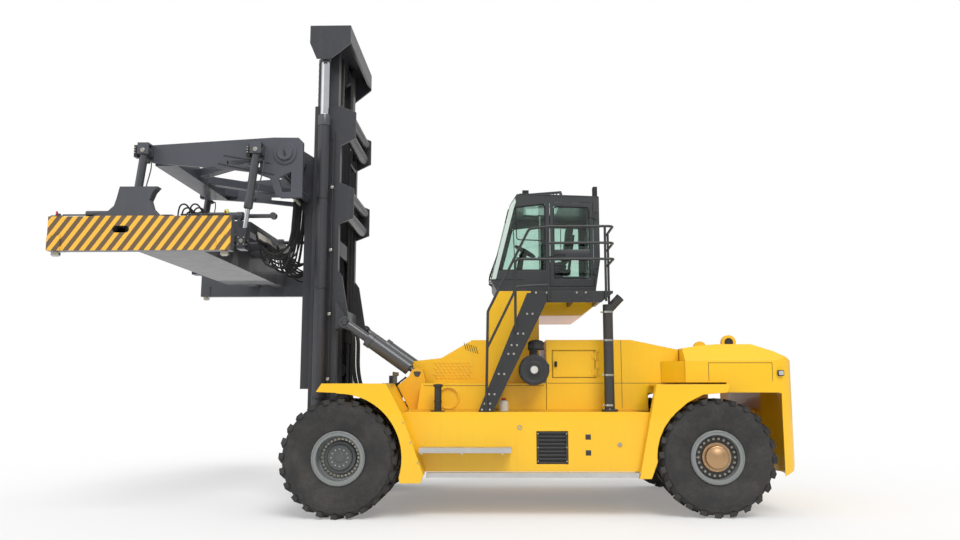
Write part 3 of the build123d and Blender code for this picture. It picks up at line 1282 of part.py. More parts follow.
end_beam_y = (twistlock_y - end_beam_width / 2, twistlock_y + end_beam_width / 2)
end_beam_x = (spreader_x - end_beam_length / 2, spreader_x + end_beam_length / 2)
twistlock_radius = 30.0
gusset = [(640, -1), (430, 70), (355, 140), (325, 240), (290, 400), (-220, 400), (-160, 330),
          (-115, 220), (-150, 110), (-210, 50), (-300, -1)]  # from the beam's middle and top
for side_name, side in sides.items():
    with BuildPart() as telescope:
        block(end_beam_x, span(side, *end_beam_y), (end_beam_low_z, end_beam_top_z))
        for index in telescope_sleeves[side_name]:
            middle = sleeve_x[index]
            low, high = sorted((-side * beam_tail_y, side * end_beam_y[0]))
            block((middle - beam_half, middle + beam_half), (low, high),
                  (beam_low_z, beam_top_z))
            block((middle - beam_half + 16, middle + beam_half - 16),
                  (low + 16, high - 16), (beam_low_z + 16, beam_top_z - 16), Mode.SUBTRACT)
            # Wear pads at the beam's tail, above and below.
            for pad in ((beam_top_z, sleeve_top_z - sleeve_wall - running_gap),
                        (sleeve_low_z + sleeve_wall + running_gap, beam_low_z)):
                block((middle - 70, middle + 70),
                      span(-side, beam_tail_y - pad_length, beam_tail_y), pad)
        # Guide gusset with hollow shoulders, and an oblong hole below it.
        side_shape([(spreader_x + x, end_beam_top_z + z) for x, z in gusset],
                   *span(side, *end_beam_y))
        with BuildSketch(Plane.XZ.offset(-side * twistlock_y)) as slot:
            with Locations((at(spreader_x + 248), 3854)):
                SlotOverall(226, 92)
        extrude(slot.sketch, amount=end_beam_width, both=True, mode=Mode.SUBTRACT)
        for fore in (-1, 1):
            x = spreader_x + fore * twistlock_x
            block((x - 90, x + 90), span(side, twistlock_y - 90, twistlock_y + 90),
                  (end_beam_low_z, end_beam_low_z + 200))
            bar((x, side * twistlock_y, end_beam_low_z - 1),
                (x, side * twistlock_y, end_beam_low_z + 150),
                twistlock_radius + running_gap, Mode.SUBTRACT)
    save(telescope, f"telescope_{side_name}")
    for end_name, fore in (("front", 1), ("rear", -1)):
        x, y = spreader_x + fore * twistlock_x, side * twistlock_y
        with BuildPart() as twistlock:
            bar((x, y, twistlock_tip_z + 50), (x, y, end_beam_low_z + 140), twistlock_radius)
            block((x - 52, x + 52), (y - 29, y + 29),
                  (twistlock_tip_z, twistlock_tip_z + 56))
            chamfer(twistlock.faces().sort_by(Axis.Z)[0].edges(), 18)
        save(twistlock, f"twistlock_{side_name}_{end_name}")

# ---------------------------------------------------------------- sway cylinders
# They lie on the hanger frame, with their rods towards the arms' rear plates.
with BuildPart() as sway_cylinders:
    for side in sides.values():
        y = side * 1225
        bar((1700, y, hanger_top_z + 90), (2500, y, hanger_top_z + 90), 60)
        bar((1250, y, hanger_top_z + 90), (1700, y, hanger_top_z + 90), 32)
        block((2420, 2500), span(side, 1180, 1270), (hanger_top_z, hanger_top_z + 60))
        block((1720, 1780), span(side, 1180, 1270), (hanger_top_z, hanger_top_z + 60))
save(sway_cylinders, "sway_cylinders")
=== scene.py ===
"""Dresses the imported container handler: finishes for its CAD nodes, and detail pieces that ride on bodies.

Everything is in metres in the row frame: +X forwards, +Y to the truck's left, +Z up. Lengths along the truck
are measured from the front axle, and ahead() turns them into X.
"""

import math

import bmesh
import bpy
import numpy as np
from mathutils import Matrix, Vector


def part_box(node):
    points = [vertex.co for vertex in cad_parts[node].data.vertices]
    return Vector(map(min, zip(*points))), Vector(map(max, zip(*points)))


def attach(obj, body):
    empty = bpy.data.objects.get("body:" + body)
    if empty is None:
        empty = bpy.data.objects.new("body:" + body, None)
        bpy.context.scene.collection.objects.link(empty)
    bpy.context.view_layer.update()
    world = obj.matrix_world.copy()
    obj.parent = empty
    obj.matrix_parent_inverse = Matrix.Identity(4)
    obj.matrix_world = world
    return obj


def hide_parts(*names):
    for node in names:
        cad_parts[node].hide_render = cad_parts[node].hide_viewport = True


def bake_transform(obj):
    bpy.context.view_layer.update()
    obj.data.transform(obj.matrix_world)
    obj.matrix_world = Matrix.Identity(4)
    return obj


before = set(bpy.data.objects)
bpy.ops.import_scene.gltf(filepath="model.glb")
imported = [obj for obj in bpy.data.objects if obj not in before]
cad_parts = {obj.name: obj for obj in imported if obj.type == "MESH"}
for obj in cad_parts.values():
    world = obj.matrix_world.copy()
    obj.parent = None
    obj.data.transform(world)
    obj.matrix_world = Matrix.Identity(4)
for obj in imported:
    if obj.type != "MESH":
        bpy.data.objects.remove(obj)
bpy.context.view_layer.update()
ACROSS, UP = (0, 1, 0), (0, 0, 1)


# ---------------------------------------------------------------- places taken from the frame
def node_box(name):
    """The two corners of a CAD node's box."""
    low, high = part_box(name)
    return np.array(low), np.array(high)


wheel_low, wheel_high = node_box("front_left_tyres")
front_axle_x = (wheel_low[0] + wheel_high[0]) / 2
sides = {"left": 1, "right": -1}


def ahead(forward):
    """X of a place measured forwards from the front axle."""
    return front_axle_x + forward


def at(forward, y, z):
    """A place whose first number is measured forwards from the front axle."""
    return ahead(forward), y, z


# ---------------------------------------------------------------- surfaces
# A shape is (points, [face index arrays]). The functions below work out whole arrays.
MERGE_DISTANCE = 1e-6
BEVELLED_ANGLE = 40.0  # degrees between two faces


def grid(rows, columns):
    """Quads over a grid of points, row by row. The last column joins the first."""
    row = np.arange(rows - 1)[:, None] * columns
    column = np.arange(columns)[None]
    beside = (column + 1) % columns
    quads = np.stack([row + column, row + beside, row + columns + beside, row + columns + column], axis=-1)
    return quads.reshape(-1, 4)


def square_axes(direction):
    """Two unit vectors square to a direction and to each other, with the unit direction itself."""
    along = np.array(direction, float)
    along /= np.linalg.norm(along)
    helper = np.array((0.0, 0.0, 1.0)) if abs(along[2]) < 0.9 else np.array((1.0, 0.0, 0.0))
    first = np.cross(helper, along)
    first /= np.linalg.norm(first)
    return first, np.cross(along, first), along


def turned(profile, centre, axis, steps=48):
    """A profile of (along, radius) pairs turned about an axis through centre:
    point = centre + along * axis + radius * (cos(angle) * first + sin(angle) * second)."""
    along, radius = np.array(profile, float).T
    first, second, unit = square_axes(axis)
    angle = np.linspace(0, 2 * np.pi, steps, endpoint=False)
    ring = np.cos(angle)[:, None] * first + np.sin(angle)[:, None] * second
    points = np.array(centre) + along[:, None, None] * unit + radius[:, None, None] * ring
    return points.reshape(-1, 3), [grid(len(along), steps)]


def rod(start, end, radius, steps=24, rim=0.0):
    """A round bar between two points, its ends drawn in by rim."""
    start, end = np.array(start, float), np.array(end, float)
    length = np.linalg.norm(end - start)
    profile = [(0, 0), (0, radius - rim), (rim, radius), (length - rim, radius), (length, radius - rim),
               (length, 0)]
    return turned(profile, start, end - start, steps)


def stud(radius, top_radius, shoulder, height):
    """Profile of a solid disc, drawn in from radius at its shoulder to top_radius at its full height."""
    return [(0, 0), (0, radius), (shoulder, radius), (height, top_radius), (height, 0)]


def band(inner, outer, low, high):
    """Profile of a plain ring."""
    return [(low, inner), (low, outer), (high, outer), (high, inner)]


def plate(outline, low, high):
    """A flat outline of (x, z) pairs carried across the truck from low to high. Its two faces are one polygon
    each."""
    flat = np.array(outline, float)
    count = len(flat)
    points = np.zeros((2, count, 3))
    points[:, :, [0, 2]] = flat
    points[0, :, 1], points[1, :, 1] = low, high
    caps = np.stack([np.arange(count), np.arange(count) + count])
    return points.reshape(-1, 3), [grid(2, count), caps]


def block(low, high, radius=0.004, steps=3):
    """A block with rounded edges. Each level is a rounded rectangle of corner radius r * sin(t), at
    r * (1 - cos(t)) from the end, for t from 0 to a right angle."""
    low, high = np.minimum(low, high).astype(float), np.maximum(low, high).astype(float)
    radius = min(radius, (high - low).min() / 2 * 0.98)
    turn = np.linspace(0, np.pi / 2, steps)
    from_end = radius * (1 - np.cos(turn))
    level = np.concatenate([low[2] + from_end, high[2] - from_end[::-1]])
    corner = np.concatenate([radius * np.sin(turn), radius * np.sin(turn[::-1])])
    angle = (turn[None] + np.arange(4)[:, None] * np.pi / 2).ravel()
    middle = (low + high)[:2] / 2
    half = (high - low)[:2] / 2 - radius
    sign = np.array([(1, 1), (-1, 1), (-1, -1), (1, -1)], float).repeat(steps, axis=0)
    flat = middle + sign * half + corner[:, None, None] * np.stack([np.cos(angle), np.sin(angle)], axis=-1)
    points = np.concatenate([flat, np.broadcast_to(level[:, None, None], flat.shape[:2] + (1,))], axis=-1)
    count = len(angle)
    caps = np.stack([np.arange(count), np.arange(count) + count * (len(level) - 1)])
    return points.reshape(-1, 3), [grid(len(level), count), caps]


def smooth_line(points, steps=8):
    """A smooth line through points, by the Catmull-Rom cubic: each span is a cubic of its four nearest
    points."""
    p = np.array(points, float)
    p = np.concatenate([[2 * p[0] - p[1]], p, [2 * p[-1] - p[-2]]])
    t = np.linspace(0, 1, steps, endpoint=False)[None, :, None]
    a, b, c, d = (p[i:len(p) - 3 + i][:, None] for i in range(4))
    span = 0.5 * (2 * b + (c - a) * t + (2 * a - 5 * b + 4 * c - d) * t**2 + (3 * b - a - 3 * c + d) * t**3)
    return np.concatenate([span.reshape(-1, 3), p[-2:-1]])


def carried(path, section, level=ACROSS):
    """A closed section of (side, up) pairs carried along a path: point = path + side * n + up * b, where n is
    square to the path and to the level direction, and b is square to both."""
    path, section = np.array(path, float), np.array(section, float)
    tangent = np.gradient(path, axis=0)
    tangent /= np.linalg.norm(tangent, axis=1)[:, None]
    normal = np.cross(tangent, np.array(level, float))
    normal /= np.linalg.norm(normal, axis=1)[:, None]
    binormal = np.cross(tangent, normal)
    points = path[:, None] + section[None, :, :1] * normal[:, None] + section[None, :, 1:] * binormal[:, None]
    count = len(section)
    caps = np.stack([np.arange(count), np.arange(count) + count * (len(path) - 1)])
    return points.reshape(-1, 3), [grid(len(path), count), caps]


def circle(radius, corners):
    """Pairs round a circle."""
    angle = np.linspace(0, 2 * np.pi, corners, endpoint=False)
    return np.stack([radius * np.cos(angle), radius * np.sin(angle)], axis=-1)


def hose(points, radius, level=ACROSS, corners=10, steps=6):
    """A round hose or pipe along a smooth line."""
    return carried(smooth_line(points, steps), circle(radius, corners), level)


def spread(shape, offsets):
    """Copies of a shape, one at each offset."""
    points, faces = shape
    offsets = np.array(offsets, float)
    starts = np.arange(len(offsets))[:, None, None] * len(points)
    moved = (points[None] + offsets[:, None]).reshape(-1, 3)
    return moved, [(group[None] + starts).reshape(-1, group.shape[1]) for group in faces]


def ring_of(shape, centre, axis, count, start=0.0):
    """Copies of a shape turned about an axis in even steps, by Rodrigues' formula."""
    points, faces = shape
    unit = square_axes(axis)[2]
    centre = np.array(centre, float)
    angle = start + np.linspace(0, 2 * np.pi, count, endpoint=False)
    arm = points - centre
    along = (arm @ unit)[:, None] * unit
    side = np.cross(unit, arm)
    cosine, sine = np.cos(angle)[:, None, None], np.sin(angle)[:, None, None]
    moved = ((arm - along)[None] * cosine + side[None] * sine + along + centre).reshape(-1, 3)
    starts = np.arange(count)[:, None, None] * len(points)
    return moved, [(group[None] + starts).reshape(-1, group.shape[1]) for group in faces]


def mirrored(shape):
    """The same shape on the other side of the truck."""
    points, faces = shape
    return points * (1, -1, 1), [group[:, ::-1] for group in faces]


def both(shapes):
    """Shapes with their mirror images."""
    return list(shapes) + [mirrored(shape) for shape in shapes]


def on_side(shapes, side):
    """Shapes made for the left side: as they are where side is 1, and mirrored where it is -1."""
    return shapes if side > 0 else [mirrored(shape) for shape in shapes]


def bolts(places, radius, out=ACROSS, height=0.014):
    """Hexagon bolts on washers, seated at places and facing along out."""
    head = [(0, 0), (0, radius * 1.25), (height * 0.2, radius * 1.25), (height * 0.25, radius),
            (height * 0.9, radius), (height, radius * 0.8), (height, 0)]
    return spread(turned(head, (0, 0, 0), out, 6), places)


def piece(name, shapes, finish, body="chassis", replaces=(), bevel=0.0, sharp=38):
    """One object made of the shapes, merged and with its faces pointing outwards, that rides on a body. A
    piece whose body is None rides on no body."""
    points = np.concatenate([shape[0] for shape in shapes])
    starts = np.cumsum([0] + [len(shape[0]) for shape in shapes])
    faces = [face for shape, start in zip(shapes, starts) for group in shape[1]
             for face in (group + start).tolist()]
    mesh = bpy.data.meshes.new(name)
    mesh.from_pydata(points, [], faces)
    work = bmesh.new()
    work.from_mesh(mesh)
    bmesh.ops.remove_doubles(work, verts=work.verts, dist=MERGE_DISTANCE)
    bmesh.ops.recalc_face_normals(work, faces=work.faces)
    work.to_mesh(mesh)
    work.free()
    mesh.shade_smooth()
    mesh.set_sharp_from_angle(angle=math.radians(sharp))
    obj = bpy.data.objects.new(name, mesh)
    bpy.context.scene.collection.objects.link(obj)
    mesh.materials.append(finish)
    if bevel:
        edge = obj.modifiers.new("edges", "BEVEL")
        edge.width = bevel
        edge.segments = 2
        edge.limit_method = "ANGLE"
        edge.angle_limit = math.radians(BEVELLED_ANGLE)
    if body:
        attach(obj, body)
    if replaces:
        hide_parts(*replaces)
    return obj


# ---------------------------------------------------------------- finishes
def tone(red, green, blue):
    """A colour from its 0 to 255 display values, as linear light."""
    shown = np.array([red, green, blue]) / 255
    linear = np.where(shown <= 0.04045, shown / 12.92, ((shown + 0.055) / 1.055) ** 2.4)
    return (*linear.tolist(), 1.0)


def node_group(name, inputs, outputs):
    """An empty shader group with named sockets, and its input and output nodes."""
    tree = bpy.data.node_groups.new(name, "ShaderNodeTree")
    for label, kind, value in inputs:
        socket = tree.interface.new_socket(label, in_out="INPUT", socket_type=kind)
        socket.default_value = value
    for label, kind in outputs:
        tree.interface.new_socket(label, in_out="OUTPUT", socket_type=kind)
    return tree, tree.nodes.new("NodeGroupInput"), tree.nodes.new("NodeGroupOutput")


def add(tree, kind, links=(), **values):
    """A node with its settings. links are (input, socket) pairs. values set attributes or named inputs."""
    node = tree.nodes.new("ShaderNode" + kind)
    for label, value in values.items():
        if hasattr(node, label):
            setattr(node, label, value)
        else:
            node.inputs[label.replace("_", " ")].default_value = value
    for label, socket in links:
        tree.links.new(socket, node.inputs[label])
    return node


def math_node(tree, operation, first, second=0.0, clamp=False):
    """A Math node's result; first and second are sockets or numbers."""
    node = tree.nodes.new("ShaderNodeMath")
    node.operation = operation
    node.use_clamp = clamp
    for index, value in enumerate((first, second)):
        if isinstance(value, (int, float)):
            node.inputs[index].default_value = value
        else:
            tree.links.new(value, node.inputs[index])
    return node.outputs[0]


def mix_colour(tree, factor, first, second, blend="MIX"):
    """A colour mix; each of the three is a socket or a constant."""
    node = tree.nodes.new("ShaderNodeMix")
    node.data_type = "RGBA"
    node.blend_type = blend
    for index, value in ((0, factor), (6, first), (7, second)):
        if hasattr(value, "links"):
            tree.links.new(value, node.inputs[index])
        else:
            node.inputs[index].default_value = value
    return node.outputs[2]


def object_place(tree, scale=(1, 1, 1)):
    """Object coordinates, stretched by a scale."""
    source = tree.nodes.new("ShaderNodeTexCoord")
    mapping = add(tree, "Mapping", [("Vector", source.outputs["Object"])])
    mapping.inputs["Scale"].default_value = scale
    return mapping.outputs["Vector"]


def noise(tree, place, scale, detail=3.0, roughness=0.5):
    """Noise from 0 to 1 at a place."""
    node = add(tree, "TexNoise", [("Vector", place)], Scale=scale, Detail=detail, Roughness=roughness)
    return node.outputs["Fac"]


def ranged(tree, value, low, high, to_low=0.0, to_high=1.0):
    """A value carried from one range to another and kept within it."""
    node = add(tree, "MapRange", [("Value", value)])
    for label, number in (("From Min", low), ("From Max", high), ("To Min", to_low), ("To Max", to_high)):
        node.inputs[label].default_value = number
    return node.outputs["Result"]


COLOUR, NUMBER = "NodeSocketColor", "NodeSocketFloat"


def weathering_group():
    """Paint that has stood outside: broad fading, streaks that run down, dust low on the body and scuffed
    gloss."""
    tree, given, result = node_group(
        "weathering",
        [("Paint", COLOUR, (0.5, 0.5, 0.5, 1)), ("Dust", COLOUR, (0.3, 0.26, 0.2, 1)),
         ("Dust Amount", NUMBER, 0.2), ("Fade", NUMBER, 0.1), ("Gloss Low", NUMBER, 0.35),
         ("Gloss High", NUMBER, 0.55)],
        [("Colour", COLOUR), ("Roughness", NUMBER), ("Height", NUMBER)])
    place = object_place(tree)
    broad = noise(tree, place, 0.9, 4.0, 0.6)
    fading = math_node(tree, "MULTIPLY", ranged(tree, broad, 0.35, 0.7), given.outputs["Fade"])
    faded = mix_colour(tree, fading, given.outputs["Paint"], (1, 1, 1, 1), "SOFT_LIGHT")
    streaks = ranged(tree, noise(tree, object_place(tree, (7, 7, 0.55)), 1.6, 5.0, 0.65), 0.52, 0.8)
    specks = ranged(tree, noise(tree, place, 16.0, 6.0, 0.7), 0.5, 0.75)
    height = add(tree, "SeparateXYZ", [("Vector", place)]).outputs["Z"]
    low_down = ranged(tree, height, 1.6, 0.4)
    amount = math_node(tree, "ADD", math_node(tree, "MULTIPLY", streaks, 0.45),
                       math_node(tree, "MULTIPLY", specks, 0.3))
    amount = math_node(tree, "ADD", amount, math_node(tree, "MULTIPLY", low_down, 0.35))
    amount = math_node(tree, "MULTIPLY", amount, given.outputs["Dust Amount"], clamp=True)
    dusty = mix_colour(tree, amount, faded, given.outputs["Dust"])
    fine = noise(tree, place, 5.0, 5.0, 0.6)
    gloss = add(tree, "MapRange", [("Value", fine), ("To Min", given.outputs["Gloss Low"]),
                                   ("To Max", given.outputs["Gloss High"])])
    dulled = math_node(tree, "MULTIPLY", amount, 0.3)
    rough = math_node(tree, "ADD", gloss.outputs["Result"], dulled, clamp=True)
    peel = noise(tree, place, 240.0, 1.0, 0.4)
    tree.links.new(dusty, result.inputs["Colour"])
    tree.links.new(rough, result.inputs["Roughness"])
    tree.links.new(peel, result.inputs["Height"])
    return tree


def edge_group():
    """How far a place is towards a sharp edge, from the difference between the rounded and the flat normal,
    broken up by noise. Paint takes its edge colour by this mask: partly rubbed wear, partly painted highlight
    and painted shade along edges."""
    tree, given, result = node_group("edge_wear_and_painted_light", [("Reach", NUMBER, 0.012), ("Amount", NUMBER, 0.6)],
                                     [("Mask", NUMBER), ("Normal", "NodeSocketVector")])
    rounded = add(tree, "Bevel", [("Radius", given.outputs["Reach"])], samples=4)
    flat = tree.nodes.new("ShaderNodeNewGeometry")
    dot = add(tree, "VectorMath", operation="DOT_PRODUCT")
    tree.links.new(rounded.outputs["Normal"], dot.inputs[0])
    tree.links.new(flat.outputs["Normal"], dot.inputs[1])
    away = ranged(tree, dot.outputs["Value"], 0.985, 0.86)
    broken = ranged(tree, noise(tree, object_place(tree), 9.0, 6.0, 0.75), 0.42, 0.62)
    worn_and_painted_light = math_node(tree, "MULTIPLY", away, broken)
    mask = math_node(tree, "MULTIPLY", worn_and_painted_light, given.outputs["Amount"], clamp=True)
    tree.links.new(mask, result.inputs["Mask"])
    tree.links.new(rounded.outputs["Normal"], result.inputs["Normal"])
    return tree


weathering = weathering_group()
edge_wear_and_painted_light = edge_group()


def new_finish(name, roughness=0.5, metallic=0.0, coat=0.0, transmission=0.0, ior=1.5):
    """A material with its Principled shader, and the constant values set on the shader itself."""
    finish = bpy.data.materials.new(name)
    finish.use_nodes = True
    shader = finish.node_tree.nodes["Principled BSDF"]
    shader.inputs["Roughness"].default_value = roughness
    shader.inputs["Metallic"].default_value = metallic
    shader.inputs["Coat Weight"].default_value = coat
    shader.inputs["Transmission Weight"].default_value = transmission
    shader.inputs["IOR"].default_value = ior
    return finish, finish.node_tree, shader


def bump(tree, shader, height, distance, strength=1.0, normal=None):
    """Feeds a height to the shader's normal."""
    node = add(tree, "Bump", [("Height", height)], Distance=distance, Strength=strength)
    if normal is not None:
        tree.links.new(normal, node.inputs["Normal"])
    tree.links.new(node.outputs["Normal"], shader.inputs["Normal"])


def group_node(tree, group, **values):
    """A placed group with its own values."""
    node = tree.nodes.new("ShaderNodeGroup")
    node.node_tree = group
    for label, value in values.items():
        node.inputs[label.replace("_", " ")].default_value = value
    return node


def paint(name, colour, dust=(150, 132, 100), dust_amount=0.2, fade=0.1, gloss=(0.3, 0.5), coat=0.2,
          worn_and_painted_light=None, wear_and_painted_light=0.0, peel=0.0004, pattern=None):
    """Weathered paint over steel. The edge colour goes along sharp edges: partly paint rubbed through, partly
    a painted highlight on dark paints and painted shade on yellow ones. pattern, if given, changes the
    paint's colour before the weather."""
    finish, tree, shader = new_finish(name, coat=coat)
    weather = group_node(tree, weathering, Paint=tone(*colour), Dust=tone(*dust), Dust_Amount=dust_amount,
                         Fade=fade, Gloss_Low=gloss[0], Gloss_High=gloss[1])
    if pattern is not None:
        tree.links.new(pattern(tree, tone(*colour)), weather.inputs["Paint"])
    shown = weather.outputs["Colour"]
    edges = group_node(tree, edge_wear_and_painted_light, Amount=wear_and_painted_light)
    # Edges take the edge colour: partly rubbed wear, partly painted highlight and painted shade.
    if wear_and_painted_light:
        shown = mix_colour(tree, edges.outputs["Mask"], shown, tone(*worn_and_painted_light))
    tree.links.new(shown, shader.inputs["Base Color"])
    tree.links.new(weather.outputs["Roughness"], shader.inputs["Roughness"])
    bump(tree, shader, weather.outputs["Height"], peel, 0.5, edges.outputs["Normal"])
    return finish


STRIPE_LEAN, STRIPE_PITCH = 0.72, 0.144
STRIPE_SHARE, STRIPE_BLUR = 0.262, 0.006  # half a bright stripe and its soft edge, in pitches
END_FACE_Y, END_BEAM_TOP = 2.992, 4.034


def stripes(tree, colour):
    """Slanted warning stripes on the faces at the far ends of the spreader: the place along a slanted line,
    divided by the pitch, and its fraction above or below a half."""
    place = add(tree, "SeparateXYZ", [("Vector", object_place(tree))])
    risen = math_node(tree, "MULTIPLY", place.outputs["Z"], STRIPE_LEAN)
    slant = math_node(tree, "ADD", place.outputs["X"], risen)
    part = math_node(tree, "FRACT", math_node(tree, "DIVIDE", slant, STRIPE_PITCH))
    off_centre = math_node(tree, "ABSOLUTE", math_node(tree, "SUBTRACT", part, 0.5))
    dark = ranged(tree, off_centre, STRIPE_SHARE, STRIPE_SHARE - STRIPE_BLUR)
    striped = mix_colour(tree, dark, tone(240, 182, 58), tone(104, 82, 58))
    far_out = math_node(tree, "ABSOLUTE", place.outputs["Y"])
    outer = math_node(tree, "GREATER_THAN", far_out, END_FACE_Y)
    under = math_node(tree, "GREATER_THAN", END_BEAM_TOP, place.outputs["Z"])
    return mix_colour(tree, math_node(tree, "MULTIPLY", outer, under), colour, striped)


# Edge colours are partly rubbed wear and partly painted light: lighter than the dark paints as painted
# highlight, darker orange on the yellows as painted shade.
yellow = paint("body_yellow_paint", (243, 188, 18), dust_amount=0.16, fade=0.12, gloss=(0.26, 0.42),
               coat=0.35, worn_and_painted_light=(196, 138, 20), wear_and_painted_light=0.35)
# The frame's yellow is the body's yellow made darker and more orange: painted shade on the inboard frame and
# mast feet. It also carries more dust.
frame_yellow_with_painted_shade = paint("frame_yellow_paint", (232, 172, 18), dust_amount=0.35, gloss=(0.35, 0.55),
                     worn_and_painted_light=(150, 110, 40), wear_and_painted_light=0.4)
grey = paint("mast_grey_paint", (50, 51, 56), (120, 116, 108), 0.22, 0.2, coat=0.25,
             worn_and_painted_light=(118, 120, 124), wear_and_painted_light=0.35)
arm_grey = paint("arm_grey_paint", (74, 76, 84), (120, 116, 108), 0.16, 0.2, (0.34, 0.52),
                 worn_and_painted_light=(118, 120, 126), wear_and_painted_light=0.3)
striped_grey = paint("striped_end_beam_paint", (70, 72, 78), (120, 112, 96), 0.16, 0.12, (0.36, 0.55),
                     worn_and_painted_light=(130, 118, 90), wear_and_painted_light=0.35, pattern=stripes)
black = paint("rail_black_paint", (40, 41, 43), (120, 112, 98), 0.16, 0.15, (0.34, 0.5),
              worn_and_painted_light=(92, 94, 96), wear_and_painted_light=0.4)
cab_paint = paint("cab_dark_paint", (52, 54, 56), (128, 122, 110), 0.12, 0.15, (0.3, 0.46),
                  worn_and_painted_light=(88, 90, 92), wear_and_painted_light=0.3)
cylinder_paint = paint("cylinder_paint", (66, 68, 72), (112, 106, 96), 0.22, 0.2, (0.28, 0.42), 0.3,
                       worn_and_painted_light=(110, 112, 114), wear_and_painted_light=0.25)
rim_paint = paint("rim_grey_paint", (122, 127, 127), (110, 100, 84), 0.3, 0.1, (0.35, 0.55),
                  worn_and_painted_light=(165, 168, 168), wear_and_painted_light=0.4)
engine_paint = paint("engine_cast_paint", (86, 90, 88), (70, 62, 50), 0.6, 0.1, (0.45, 0.7),
                     worn_and_painted_light=(120, 120, 118), wear_and_painted_light=0.3, peel=0.0012)


def metal(name, colour, roughness, brushed, depth):
    """Bare metal with fine brushed lines and faint smears."""
    finish, tree, shader = new_finish(name, roughness, metallic=1.0)
    lines = noise(tree, object_place(tree, brushed), 14.0, 3.0, 0.6)
    smears = noise(tree, object_place(tree), 3.0, 4.0, 0.6)
    smeared = ranged(tree, smears, 0.3, 0.75, 0.0, 0.35)
    shown = mix_colour(tree, smeared, tone(*colour), tone(*(c * 0.72 for c in colour)))
    tree.links.new(shown, shader.inputs["Base Color"])
    rough = ranged(tree, lines, 0.2, 0.8, roughness * 0.75, roughness * 1.35)
    tree.links.new(rough, shader.inputs["Roughness"])
    bump(tree, shader, lines, depth, 0.4)
    return finish


chrome = metal("hard_chrome", (222, 224, 228), 0.12, (1, 1, 30), 0.00008)
aluminium = metal("tread_aluminium", (214, 214, 212), 0.34, (50, 2, 2), 0.0003)
zinc = metal("zinc_plated_steel", (196, 192, 180), 0.32, (30, 30, 30), 0.0002)
brass = metal("hub_cap_bronze", (196, 160, 120), 0.4, (3, 3, 3), 0.0003)


def rubber_finish(name, colour, grain=60.0, depth=0.0016, dust_amount=0.35):
    """Rubber: a matt dark surface with a fine grain and dust that lies in patches."""
    finish, tree, shader = new_finish(name, 0.8)
    place = object_place(tree)
    patches = ranged(tree, noise(tree, place, 3.5, 6.0, 0.7), 0.42, 0.75, 0.0, dust_amount)
    shown = mix_colour(tree, patches, tone(*colour), tone(96, 90, 82))
    fine = noise(tree, place, grain, 4.0, 0.6)
    shade = mix_colour(tree, ranged(tree, fine, 0.35, 0.7, 0.0, 0.25), shown, tone(22, 22, 22))
    tree.links.new(shade, shader.inputs["Base Color"])
    tree.links.new(ranged(tree, fine, 0.2, 0.8, 0.62, 0.9), shader.inputs["Roughness"])
    bump(tree, shader, fine, depth, 0.5)
    return finish


tyre_rubber = rubber_finish("tyre_rubber", (44, 43, 43))
hose_rubber = rubber_finish("hose_rubber", (24, 24, 25), 160.0, 0.0006, 0.15)
plastic = rubber_finish("moulded_plastic", (34, 35, 37), 220.0, 0.0004, 0.1)


def glass_finish(name, colour, roughness=0.02):
    """Tinted glass with a faint smear in its gloss."""
    finish, tree, shader = new_finish(name, roughness, transmission=1.0, ior=1.45)
    smear = noise(tree, object_place(tree), 2.2, 5.0, 0.7)
    smeared = ranged(tree, smear, 0.3, 0.8)
    shown = mix_colour(tree, smeared, tone(*colour), tone(*(c * 0.93 for c in colour)))
    tree.links.new(shown, shader.inputs["Base Color"])
    rough = ranged(tree, smear, 0.35, 0.8, roughness * 0.6, roughness * 3.0)
    tree.links.new(rough, shader.inputs["Roughness"])
    return finish


cab_glass = glass_finish("green_tinted_glass", (212, 236, 226))


def weave_finish(name, colour, pitch=0.0045):
    """Woven cloth: two waves at right angles, taken in turn by a checker of the same pitch."""
    finish, tree, shader = new_finish(name, 0.85)
    shader.inputs["Sheen Weight"].default_value = 0.25
    place = object_place(tree)
    parts = add(tree, "SeparateXYZ", [("Vector", place)])
    turns = 2 * math.pi / pitch
    warp = math_node(tree, "SINE", math_node(tree, "MULTIPLY", parts.outputs["Y"], turns))
    weft_line = math_node(tree, "ADD", parts.outputs["X"], parts.outputs["Z"])
    weft = math_node(tree, "SINE", math_node(tree, "MULTIPLY", weft_line, turns))
    cloth = ranged(tree, math_node(tree, "MULTIPLY", warp, weft), -1.0, 1.0)
    patches = noise(tree, place, 12.0, 4.0, 0.6)
    shown = mix_colour(tree, cloth, tone(*colour), tone(*(c * 0.6 for c in colour)))
    shown = mix_colour(tree, ranged(tree, patches, 0.35, 0.75, 0.0, 0.3), shown, tone(92, 88, 84))
    tree.links.new(shown, shader.inputs["Base Color"])
    bump(tree, shader, cloth, 0.0008, 0.6)
    return finish


seat_cloth = weave_finish("seat_cloth", (62, 62, 66))


def lamp_finish(name, colour, roughness=0.12):
    """A moulded lens with fine ribs; its colour is darker in bands along the ribs, as painted shade. No
    reflector is drawn: a pale lens colour stands in for one, as a painted reflection.
    """
    finish, tree, shader = new_finish(name, roughness, coat=0.6)
    wave = add(tree, "TexWave", [("Vector", object_place(tree))], wave_type="BANDS", bands_direction="Y",
               Scale=26.0, Distortion=0.0)
    ribs = wave.outputs["Fac"]
    # Darker bands along the ribs: painted shade.
    shown = mix_colour(tree, ribs, tone(*colour), tone(*(c * 0.7 for c in colour)))
    tree.links.new(shown, shader.inputs["Base Color"])
    bump(tree, shader, ribs, 0.002, 0.7)
    return finish


clear_lens = lamp_finish("clear_lens", (226, 228, 230))
red_lens = lamp_finish("red_lens", (176, 22, 18))
lime_lens = lamp_finish("lime_lens", (214, 226, 92))


STACK_X, STACK_Y = ahead(-3.805), 1.55
HOLES_ROUND, HOLE_PITCH = 26.0, 0.034


